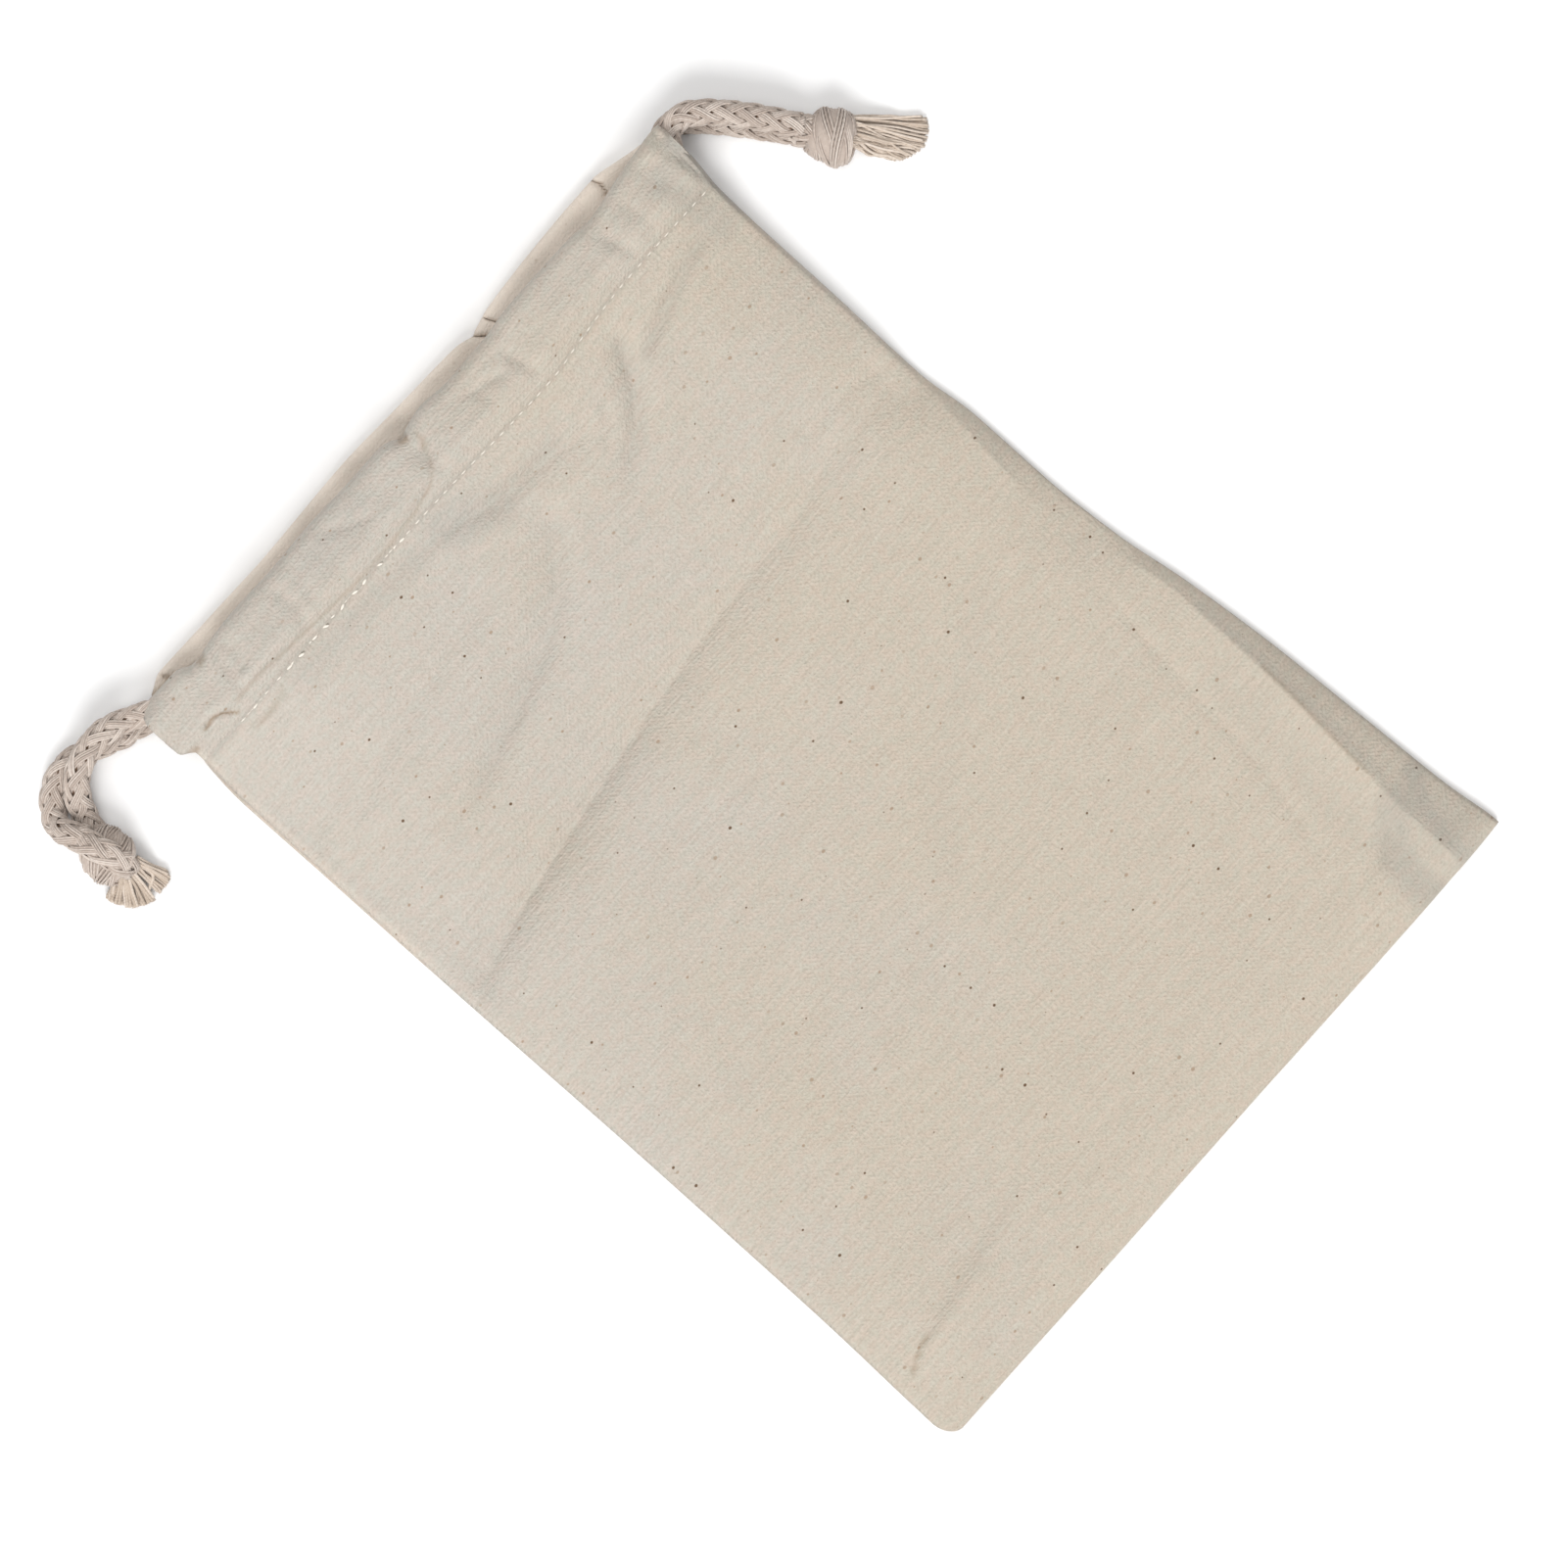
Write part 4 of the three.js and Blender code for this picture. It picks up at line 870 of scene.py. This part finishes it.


# %% [markdown]
# A core lies under the yarns, so that the gaps between them are closed. A cord's core is painted dark
# brown, as shadow between the yarns; a knot's cores take a yarn tone. All yarns of a piece and its cores
# go into one mesh, and each point knows its yarn's tone and its place along the yarn.

# %% Making a piece of yarns
YARN_SIDES = 5                # a yarn is so thin that a ring of five points looks round
CORE_SIDES = 14
CORE_TONE = -1.0              # the yarns' tones lie between 0 and 1
OFF_FLOOR = 0.03              # no yarn goes lower than this


def core_tube(line, wide, high, axis=None):
    """A closed tube with an oval section, for what shows between the yarns."""
    level, over = level_frame(line, axis)
    return oval_tube(line, 0.5 * wide[:, None] * level, 0.5 * high[:, None] * over, CORE_SIDES)


def yarn_piece(name, yarns, step, cores=(), core_tone=CORE_TONE):
    """One mesh from many yarns and the dark cores under them."""
    parts = []
    for line, radius, tone in yarns:
        _, side, up = frames(line)
        points, faces = oval_tube(line, radius * side, radius * up, YARN_SIDES)
        place = np.repeat(np.arange(len(line)) * step, YARN_SIDES)
        parts.append((points, faces, np.full(len(points), tone), place))
    for points, faces in cores:
        parts.append((points, faces, np.full(len(points), core_tone), np.zeros(len(points))))
    starts = np.cumsum([0] + [len(part[0]) for part in parts])
    faces = np.concatenate([part[1] + start for part, start in zip(parts, starts)])
    points, tone, place = (np.concatenate([part[k] for part in parts]) for k in (0, 2, 3))
    points[:, 2] = np.maximum(points[:, 2], OFF_FLOOR)
    return mesh_piece(name, points, faces.tolist(), {"tone": tone, "way": place})


# %% [markdown]
# Where a drawstring shows, it is round and has single yarns. Inside the casings it is pressed flatter
# and nobody sees it, so one thick yarn a bundle does there.

# %% Drawstrings
YARN_STEP = 0.5   # distance between two points of a yarn that shows
PATH_STEP = 1.2               # steps of the hidden yarns, and of the middle line that cord_path gives
PRESSED = (4.5, 2.6)          # width and height of a cord inside a casing
CORE_SHARE = 0.72             # width of the core, for the cord's width
HIDDEN_BUNDLE = 1.0           # width of a bundle inside the casings


def cord_piece(name, route, free, stretches, seed):
    """A cord that shows over its first and last stretch, given as shares of its length."""
    line, way = smooth_line(route, YARN_STEP)
    inner_line, inner_way = smooth_line(route, PATH_STEP)
    wide, high = (mix(pressed, CORD_WIDE, free(line[:, 0])) for pressed in PRESSED)
    inner_wide, inner_high = (mix(pressed, CORD_WIDE, free(inner_line[:, 0])) for pressed in PRESSED)
    yarns = []
    for first, last in stretches:
        yarns += braid(line, way, wide, high, (first * way[-1], last * way[-1]), seed)
    hidden = (stretches[0][1] * way[-1], stretches[1][0] * way[-1])
    yarns += braid(inner_line, inner_way, inner_wide, inner_high, hidden, seed, yarns=1,
                   yarn_wide=HIDDEN_BUNDLE)
    core = core_tube(inner_line, CORE_SHARE * inner_wide, CORE_SHARE * inner_high)
    return yarn_piece(name, yarns, YARN_STEP, [core]), float(way[-1]) * MM


def left_free(x):
    """0 where the left cord is pressed in its casing, 1 where it is free and round."""
    return smooth(75.2, 79, -x)


def right_free(x):
    """The same for the right cord."""
    return smooth(71.2, 75, x)


LEFT_SHOWN = [(0.0, 0.125), (0.80, 1.0)]
RIGHT_SHOWN = [(0.0, 0.115), (0.885, 1.0)]
cord_left, left_length = cord_piece("cord_left", LEFT_ROUTE, left_free, LEFT_SHOWN, 11)
cord_right, right_length = cord_piece("cord_right", RIGHT_ROUTE, right_free, RIGHT_SHOWN, 12)
print("cord lengths", left_length, right_length)

# %% [markdown]
# Both ends of a drawstring are tied in one overhand knot. The braid flattens as it turns tightly round,
# so a wrap is broad, and its yarns lie almost side by side along it. The ends pass over and beside the
# wrap. All of it is the same braid with a longer lay, on a wider section, round an oval heart.

# %% Knots
# The wrap starts at the angle "first" and makes so many turns at the distance "reach" from the axis,
# which points "turn" degrees off the bag's length. "high" is how much flatter than round it is.
KNOTS = {
    "left": dict(
        middle=(-97.1, 87.5), turn=14, first=200, wraps=1.35, along_axis=(1.0, -1.0), reach=3.6, high=0.74,
        wide=(10.4, 10.0), thick=3.8, seed=31,
        strands=[[(-98.3, 94.2, 6.4), (-97.8, 92.0, 7.5), (-97.3, 89.8, 8.5), (-96.8, 87.4, 8.8),
                  (-96.4, 85.3, 7.9), (-96.1, 83.6, 6.0), (-95.9, 82.9, 4.2)]],
    ),
    "right": dict(
        middle=(90.0, 74.4), turn=38, first=150, wraps=1.7, along_axis=(0.8, -3.6), reach=3.7, high=0.78,
        wide=(9.2, 5.8), thick=4.2, seed=32,
        strands=[[(87.6, 80.4, 7.0), (88.6, 78.6, 6.0), (89.6, 76.6, 5.0), (91.0, 73.9, 4.4),
                  (92.7, 71.6, 3.6)],
                 [(86.9, 79.7, 2.6), (88.2, 77.4, 3.0), (89.8, 75.0, 3.4)]],
    ),
}

# %% [markdown]
# A wrap runs round the knot's axis and is tucked in at both ends. It is broad where it shows on top
# and narrow where it goes round the side.

# %% Tying the knots
WRAP_TURN_EVERY = 80.0        # a wrap's yarns lean very little
HEART = 3.6                   # half the length of the knot's heart
STRAND = (5.2, 3.6)           # width and height of an end where it passes the wrap
STRAND_CORE = (3.9, 2.6)      # and of the core in it
KNOT_CORE_TONE = 0.3


def knot_piece(name, middle, turn, first, wraps, along_axis, reach, high, wide, thick, seed, strands):
    """A wrap round the knot's axis, tucked in at both ends, with the ends of the cord over it."""
    t = np.linspace(0, 1, 70)
    angle = np.radians(first + 360 * wraps * t)
    tuck = smooth(0, 0.14, t) * smooth(0, 0.14, 1 - t)
    out = mix(0.3, reach, tuck)
    slant = math.radians(turn)
    axis = np.array((-math.sin(slant), math.cos(slant), 0.0))
    beside = np.array((math.cos(slant), math.sin(slant), 0.0))
    up = np.array((0, 0, 1.0))
    centre = np.array((*middle, high * reach + 0.5 * thick + 0.05))
    path = (centre + np.outer(out * np.cos(angle), beside) + np.outer(mix(*along_axis, t), axis)
            + np.outer(high * out * np.sin(angle), up))
    line, way = smooth_line(path, YARN_STEP)
    on_top = np.clip(np.abs(line[:, 2] - centre[2]) / (high * reach), 0, 1)
    broad = mix(*wide, smooth(0.3, 0.75, way / way[-1])) * mix(0.68, 1.0, on_top)
    flat = np.full(len(line), thick)
    yarns = braid(line, way, broad, flat, (0, way[-1]), seed, turn_every=WRAP_TURN_EVERY, axis=axis)
    cores = [core_tube(line, 0.9 * broad, 0.78 * flat, axis)]
    heart = np.linspace(-HEART, HEART, 9)
    swell = 2 * reach * np.sqrt(1 - (heart / (HEART + 0.8)) ** 2)
    cores.append(core_tube(centre + np.outer(heart, axis), swell, high * swell, beside))
    for strand in strands:
        line, way = smooth_line(strand, YARN_STEP)
        even = np.ones(len(line))
        yarns += braid(line, way, STRAND[0] * even, STRAND[1] * even, (0, way[-1]), seed + 5)
        cores.append(core_tube(line, STRAND_CORE[0] * even, STRAND_CORE[1] * even))
    return yarn_piece(name, yarns, YARN_STEP, cores, KNOT_CORE_TONE)


knot_pieces = {side: knot_piece("knot_wraps_" + side, **facts) for side, facts in KNOTS.items()}

# %% [markdown]
# Below the knot the braid has come undone. Its yarns spread like a fan and were cut off in a curve.
# They are thin tubes again: each starts in the knot, ends on the cut edge, and sways a little between.

# %% Frayed ends
# Each tuft of yarns starts between two points and ends on a line of cut ends.
FANS = {
    "left": [
        dict(starts=((-98.4, 84.8), (-95.8, 83.2)), yarns=36, wide=0.68, sway=0.12, seed=41,
             cut=[(-103.5, 82.7), (-103.2, 80.2), (-101.6, 77.5), (-99.6, 75.9), (-97.4, 75.3)]),
        dict(starts=((-95.4, 83.4), (-93.6, 83.2)), yarns=20, wide=0.6, sway=0.1, seed=43,
             cut=[(-96.4, 75.6), (-94.4, 75.5), (-92.8, 75.9), (-92.1, 77.2)]),
        dict(starts=((-94.3, 84.0), (-94.1, 84.1)), yarns=1, wide=0.75, sway=1.6, seed=46,
             cut=[(-97.6, 75.7), (-97.5, 75.6)]),
    ],
    "right": [
        dict(starts=((91.6, 71.2), (94.4, 74.9)), yarns=120, wide=0.5, sway=0.55, seed=42,
             cut=[(94.4, 66.0), (94.7, 63.2), (95.6, 61.6), (98.0, 60.1), (100.8, 59.6), (103.6, 61.0),
                  (105.2, 63.2)]),
    ],
}
TAIL_AHEAD = {"left": (-0.1, -1.0), "right": (0.60, -0.80)}
FAN_STEP = 0.7                # distance between two points of a loose yarn


# %% [markdown]
# Yarns leave the knot along the cord, spread towards their places on the cut edge and settle on the
# table, the lower ones first. Chance moves each of them a little.

# %% Spreading the yarns
def fan_lines(starts, yarns, wide, sway, seed, cut, ahead):
    """The middle lines of one tuft, between two start points and the edge where it was cut off."""
    draw = np.random.default_rng(seed)
    starts, cut = np.array(starts, float), np.array(cut, float)
    cut_way = walked(cut)
    t = np.linspace(0, 1, 18)
    lines = []
    for n in range(yarns):
        share = np.clip((n + 0.5 + draw.uniform(-0.5, 0.5)) / yarns, 0, 1)
        start = mix(starts[0], starts[1], np.clip(share + draw.uniform(-0.25, 0.25), 0, 1))
        end = np.array([np.interp(share * cut_way[-1], cut_way, cut[:, k]) for k in (0, 1)])
        end = mix(start, end, draw.uniform(0.93, 1.0))
        run = np.hypot(*(end - start))
        pull = 0.45 * run * np.array(ahead)
        bow = (t * (1 - t) ** 2)[:, None] * (pull - 0.45 * (end - start))
        flat = start + t[:, None] * (end - start) + bow
        across = np.array((start[1] - end[1], end[0] - start[0])) / run
        wave = sway * draw.normal() * np.sin(math.pi * t)
        wave = wave + 0.4 * sway * draw.normal() * np.sin(2.6 * math.pi * t)
        wave = wave * smooth(1.02, 0.6, t) + 0.25 * sway * draw.normal() * t
        layer = draw.uniform(0, 1)
        rest = 0.55 * wide + 2.1 * layer * (1 - 0.45 * abs(2 * share - 1))
        z = mix(2.6 + 3.0 * layer, rest, smooth(0, 0.8, t)) + 0.12 * draw.normal() * np.sin(5 * t) * t
        lines.append(np.concatenate([flat + across * wave[:, None], np.maximum(z, 0.5 * wide)[:, None]], 1))
    return lines


fan_pieces = {}
for side, tufts in FANS.items():
    lines, radii = [], []
    for facts in tufts:
        lines += fan_lines(ahead=TAIL_AHEAD[side], **facts)
        radii += [0.5 * facts["wide"]] * facts["yarns"]
    tones = np.clip(0.46 + 0.3 * np.random.default_rng(61).normal(size=len(lines)), 0, 1)
    fan_pieces[side] = yarn_piece("frayed_ends_" + side, list(zip(lines, radii, tones)), FAN_STEP)

# %% [markdown]
# The casing is closed by a row of machine stitches in thick pale thread. One stitch is modelled, as a
# short fat thread whose ends dip into the cloth, and it is copied along the stitch line.

# %% One stitch
bpy.ops.object.select_all(action="DESELECT")
bpy.ops.mesh.primitive_uv_sphere_add(segments=10, ring_count=6, radius=1.0)
pattern_stitch = bpy.context.object
stitch_shape = np.zeros(len(pattern_stitch.data.vertices) * 3)
pattern_stitch.data.vertices.foreach_get("co", stitch_shape)
stitch_shape = stitch_shape.reshape(-1, 3)
stitch_faces = [tuple(polygon.vertices) for polygon in pattern_stitch.data.polygons]
bpy.data.objects.remove(pattern_stitch)


def stitch_row(name, places, length, wide, high):
    """Stitches at their places, each given by x, y, z and its angle; no two are quite the same."""
    points, faces = [], []
    draw = np.random.default_rng(51)
    for x, y, z, angle in places:
        shape = stitch_shape * (0.5 * length * draw.uniform(0.9, 1.05), 0.5 * wide, 0.5 * high)
        angle = angle + draw.uniform(-0.12, 0.12)
        turned = np.stack([
            shape[:, 0] * math.cos(angle) - shape[:, 1] * math.sin(angle),
            shape[:, 0] * math.sin(angle) + shape[:, 1] * math.cos(angle),
            shape[:, 2],
        ], 1)
        faces += [tuple(v + len(points) * len(stitch_shape) for v in face) for face in stitch_faces]
        points.append(turned + (x, y, z + draw.uniform(-0.07, 0.05)))
    print(len(places), "stitches")
    return mesh_piece(name, np.concatenate(points), faces, {})


# %% [markdown]
# The machine ran unevenly at the left: the stitches are crowded there, they stand at odd angles and
# some are loose. Further right they are regular.

# %% Topstitches
STITCH_PITCH = 2.5
place_draw = np.random.default_rng(52)
crowded = np.arange(-61.5, -16.5, 1.25)
regular = np.concatenate([np.arange(-70.5, -62.5, 1.6), np.arange(-15.6, 68.5, STITCH_PITCH)])
stitch_x = np.concatenate([crowded + place_draw.uniform(-0.35, 0.35, len(crowded)), regular])
stitch_x = np.sort(stitch_x + place_draw.uniform(-0.15, 0.15, len(stitch_x)))
seam_x, seam_y, seam_z = front_points[len(body_steps) - 1].T
stitch_y = np.interp(stitch_x, seam_x, seam_y)
stitch_slope = np.arctan(np.gradient(stitch_y, stitch_x))
loose_here = smooth(-15, -20, stitch_x)
stitch_y = stitch_y + place_draw.normal(0, 0.22, len(stitch_x)) * loose_here
stitch_y = stitch_y + 0.9 * smooth(-62, -66, stitch_x)
stitch_slope = stitch_slope + place_draw.normal(0, 0.35, len(stitch_x)) * loose_here
stitch_z = np.interp(stitch_x, seam_x, seam_z) + 0.5 * THREAD_LAYER + 0.13 + 0.12 * loose_here
front_stitches = stitch_row(
    "front_topstitches", list(zip(stitch_x, stitch_y, stitch_z, stitch_slope)), 1.5, 0.52, 0.44
)
BACK_STITCH_Z = 0.21          # the thread lies in the cloth there, and stays off the floor
back_places = [(x, BACK_STITCH, BACK_STITCH_Z, 0.0) for x in np.arange(-69, 67, STITCH_PITCH)]
back_stitches = stitch_row("back_topstitches", back_places, 1.9, 0.42, 0.26)

# %% [markdown]
# Shader maths reads better as plain expressions, so a small class wraps a socket of a node and knows
# the usual signs. A number may stand on either side of them.

# %% Shader helper
class Paint:
    """A material's node tree and a socket of it, with arithmetic."""

    def __init__(self, tree, socket=None):
        self.tree = tree
        self.socket = socket

    def node(self, kind, inputs=(), output=0, **settings):
        """A new node of the same tree. An input is a number, a colour or another socket."""
        made = self.tree.nodes.new(kind)
        for key, value in settings.items():
            setattr(made, key, value)
        for key, value in dict(inputs).items():
            if isinstance(value, Paint):
                self.tree.links.new(value.socket, made.inputs[key])
            else:
                made.inputs[key].default_value = value
        return Paint(self.tree, made.outputs[output])

    def output(self, number):
        """Another output of the node that this socket belongs to."""
        return Paint(self.tree, self.socket.node.outputs[number])

    def mark(self, name):
        """The number that the mesh stores for each point under this name."""
        return self.node("ShaderNodeAttribute", output=2, attribute_name=name)

    def math(self, operation, *others):
        """One step of arithmetic with this value first."""
        return self.node("ShaderNodeMath", dict(enumerate([self, *others])), operation=operation)

    def __add__(self, other):
        return self.math("ADD", other)

    __radd__ = __add__

    def __mul__(self, other):
        return self.math("MULTIPLY", other)

    __rmul__ = __mul__

    def __sub__(self, other):
        return self.math("SUBTRACT", other)

    def __rsub__(self, other):
        return self.node("ShaderNodeMath", {0: other, 1: self}, operation="SUBTRACT")

    def clamp(self, low, high):
        """A soft step from 0 at low to 1 at high."""
        limits = {0: self, 1: low, 2: high, 3: 0.0, 4: 1.0}
        return self.node("ShaderNodeMapRange", limits, interpolation_type="SMOOTHSTEP")

    def tint(self, first, second):
        """A colour between two others, by this value."""
        colours = {0: self, 6: first, 7: second}
        return self.node("ShaderNodeMix", colours, output=2, data_type="RGBA", clamp_factor=True)

    def stained(self, other, share):
        """This colour multiplied by another, by a share of it."""
        colours = {0: share, 6: self, 7: other}
        return self.node("ShaderNodeMix", colours, output=2, data_type="RGBA", blend_type="MULTIPLY")


# %% [markdown]
# All materials of the bag are dry cotton: rough, hardly shiny, with a faint sheen of loose fibres.

# %% Starting and finishing a material
def new_material(name, roughness):
    """A cotton material, its node tree to paint in, and its shader."""
    material = bpy.data.materials.new(name)
    material.use_nodes = True
    shader = material.node_tree.nodes["Principled BSDF"]
    shader.inputs["Roughness"].default_value = roughness
    shader.inputs["Specular IOR Level"].default_value = 0.25
    shader.inputs["Sheen Weight"].default_value = 0.12
    shader.inputs["Sheen Roughness"].default_value = 0.6
    return material, Paint(material.node_tree), shader


def finish_material(material, shader, colour, bump):
    """Colour and bump go into the material's shader."""
    material.node_tree.links.new(colour.socket, shader.inputs["Base Color"])
    material.node_tree.links.new(bump.socket, shader.inputs["Normal"])
    print("material", material.name, len(material.node_tree.nodes), "nodes")
    return material


# %% [markdown]
# Unbleached cotton is a warm grey cream. Its threads are uneven, so thick ones show as faint streaks
# across and along the cloth, and bits of seed husk are left in it as small brown flecks. The threads
# run with the cloth, round the casing too, so the pattern reads the sheet's own map.

# %% Cloth material
WARM = (0.5225, 0.466, 0.3915, 1)
GREY = (0.5175, 0.478, 0.430, 1)
THREAD_PITCH = 0.5            # distance between two threads of the weave


def cloth_material(name, warm, grey, painted_light_colour):
    """Cloth between a warm and a grey colour, with a third, paler one where painted light is marked."""
    material, paint, shader = new_material(name, 0.9)
    here = paint.node("ShaderNodeUVMap", uv_map="cloth")
    split = paint.node("ShaderNodeSeparateXYZ", {0: here})
    u = split * (1 / MAP_SCALE)
    v = split.output(1) * (1 / MAP_SCALE)

    def pattern(kind, scale_u, scale_v, shift, inputs, **settings):
        """A texture on the flat cloth, with so many cells a millimetre across and along."""
        place = paint.node("ShaderNodeCombineXYZ", {0: u * scale_u + shift, 1: v * scale_v, 2: 0.0})
        return paint.node(kind, {"Vector": place, "Scale": 1.0, **inputs}, **settings)

    def noise(scale_u, scale_v, detail, shift):
        """Soft unevenness between 0 and 1."""
        inputs = {"Detail": detail, "Roughness": 0.6}
        return pattern("ShaderNodeTexNoise", scale_u, scale_v, shift, inputs)

    def flecks(scale_u, scale_v, shift, size, edge, rare):
        """Dots in chance cells: size makes a dot's size from a chance number, rare leaves some out."""
        inputs = {"Randomness": 1.0}
        dots = pattern("ShaderNodeTexVoronoi", scale_u, scale_v, shift, inputs, voronoi_dimensions="2D")
        chance = paint.node("ShaderNodeSeparateColor", {0: dots.output(1)})
        return (size(chance) - dots).clamp(0.0, edge) * chance.output(1).clamp(*rare)

    weft = noise(0.16, 2.2, 2.0, 3.0)
    warp = noise(2.0, 0.2, 2.0, 17.0)
    slub = noise(0.05, 0.9, 2.0, 31.0)
    grain = noise(1.7, 1.7, 2.0, 5.0)
    speck = noise(0.45, 0.6, 2.0, 43.0)
    patch = noise(0.03, 0.03, 3.0, 9.0)
    cross = (u * (math.pi / THREAD_PITCH)).math("COSINE") * (v * (math.pi / THREAD_PITCH)).math("COSINE")
    height = cross * 0.22 + weft * 2.0 + warp * 0.9 + grain * 3.1
    streak = (weft - 0.5) * 0.48 + (warp - 0.5) * 0.2 + (slub - 0.5) * 0.30 + (grain - 0.5) * 0.9
    paler = v * 0.005 - u * 0.006 + (patch - 0.5) * 1.6 + (u - 44.0).clamp(0.0, 30.0) * 0.045
    colour = paler.clamp(-0.35, 0.75).tint(warm, grey)
    colour = colour.stained(speck.clamp(0.3, 0.7).tint((1.03, 0.985, 0.97, 1), (0.98, 1.01, 1.0, 1)), 1.0)
    light = (streak + 0.5).clamp(0.15, 0.85)
    colour = colour.stained(light.tint((0.70, 0.68, 0.64, 1), (1.04, 1.04, 1.04, 1)), 0.62)
    dark = flecks(0.13, 0.15, 0.3, lambda c: c * c * c * 0.040 + 0.014, 0.018, (0.42, 0.44))
    colour = dark.tint(colour, (0.13, 0.08, 0.045, 1))
    faint = flecks(0.21, 0.27, 7.0, lambda c: c * c * 0.07 + 0.035, 0.03, (0.4, 0.9))
    colour = (faint * 0.85).tint(colour, (0.33, 0.24, 0.17, 1))
    # Painted light: a warmer, paler colour along the folded left edge and the back's mouth edge.
    colour = (paint.mark("painted_light") * 0.9).tint(colour, painted_light_colour)
    # Painted grey shade in dents, troughs and folds.
    colour = paint.mark("shade").tint(colour, (0.20, 0.22, 0.22, 1))
    # Painted brown shadow lines in the sharpest creases.
    colour = (paint.mark("deep") * 0.85).tint(colour, (0.25, 0.17, 0.10, 1))
    bump = paint.node("ShaderNodeBump", {"Height": height, "Strength": 0.5, "Distance": 0.00022})
    return finish_material(material, shader, colour, bump)


front_cotton = cloth_material("front_cotton", WARM, GREY, (0.80, 0.66, 0.53, 1))
# Paler than the front's colours: painted light for the back's mouth edge, in the front casing's shade.
back_cotton = cloth_material(
    "back_cotton", (0.60, 0.52, 0.44, 1), (0.59, 0.525, 0.46, 1), (0.86, 0.76, 0.66, 1)
)

# %% [markdown]
# The cord's yarns are a little pinker than the cloth. Each has its own tone and the fine slanted lines
# of its twist, and the core that shows between them is painted dark brown, as shadow between the yarns.
# The stitches are a plain pale thread.

# %% Yarn and thread materials
def yarn_material(name, pale, deep, core):
    """Yarn between a deep and a pale tone, with a third colour, a painted shadow, for the core."""
    material, paint, shader = new_material(name, 0.85)
    tone = paint.mark("tone")
    twist = (paint.mark("way") * 7.0 + tone * 40.0).math("SINE")
    place = paint.node("ShaderNodeTexCoord", output=3)
    fuzz = paint.node("ShaderNodeTexNoise", {"Vector": place, "Scale": 1500.0, "Detail": 2.0})
    shade = tone * 0.7 + (fuzz - 0.5) * 0.5 + twist * 0.06
    colour = shade.clamp(-0.1, 0.9).tint(deep, pale)
    # Points with a tone below 0 are cores: painted dark shadow between the yarns.
    colour = tone.clamp(-0.4, -0.1).tint(core, colour)
    bump = paint.node("ShaderNodeBump", {"Height": twist * 0.4 + fuzz, "Strength": 0.5, "Distance": 0.0001})
    return finish_material(material, shader, colour, bump)


cord_cotton = yarn_material(
    "cord_cotton", (0.64, 0.565, 0.505, 1), (0.42, 0.345, 0.295, 1), (0.13, 0.075, 0.045, 1)
)
loose_cotton = yarn_material(
    "loose_cotton", (0.68, 0.59, 0.51, 1), (0.46, 0.375, 0.30, 1), (0.2, 0.13, 0.08, 1)
)
stitch_thread, _, thread_shader = new_material("stitch_thread", 0.6)
thread_shader.inputs["Base Color"].default_value = (0.80, 0.75, 0.67, 1)

# %% [markdown]
# Each piece now gets its material and the body that it rides on, and the six parts of the imported
# model are hidden. Stitches and frayed ends stand for no node of their own. They go with the cloth and
# the cords.

# %% Put the pieces in the frame
for material, pieces in (
    (front_cotton, [front_cloth]),
    (back_cotton, [back_cloth]),
    (cord_cotton, [cord_left, cord_right, *knot_pieces.values()]),
    (loose_cotton, fan_pieces.values()),
    (stitch_thread, [front_stitches, back_stitches]),
):
    for piece in pieces:
        piece.data.materials.append(material)

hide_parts("front_panel")
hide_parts("back_panel")
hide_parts("drawstring_left")
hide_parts("drawstring_right")
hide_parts("knot_left")
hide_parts("knot_right")
cloth_pieces = (front_cloth, back_cloth, front_stitches, back_stitches)
cord_pieces = (cord_left, cord_right, *knot_pieces.values(), *fan_pieces.values())
for slot, pieces in (("cloth", cloth_pieces), ("cord", cord_pieces)):
    for piece in pieces:
        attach(piece, "root")


def cord_path(route):
    """The middle line of a cord in metres, at even steps."""
    return [tuple(MM * float(v) for v in point) for point in smooth_line(route, PATH_STEP)[0]]


cord_path(LEFT_ROUTE)
cord_path(RIGHT_ROUTE)
print(len(cloth_pieces), "pieces of cloth and thread,", len(cord_pieces), "of cord")
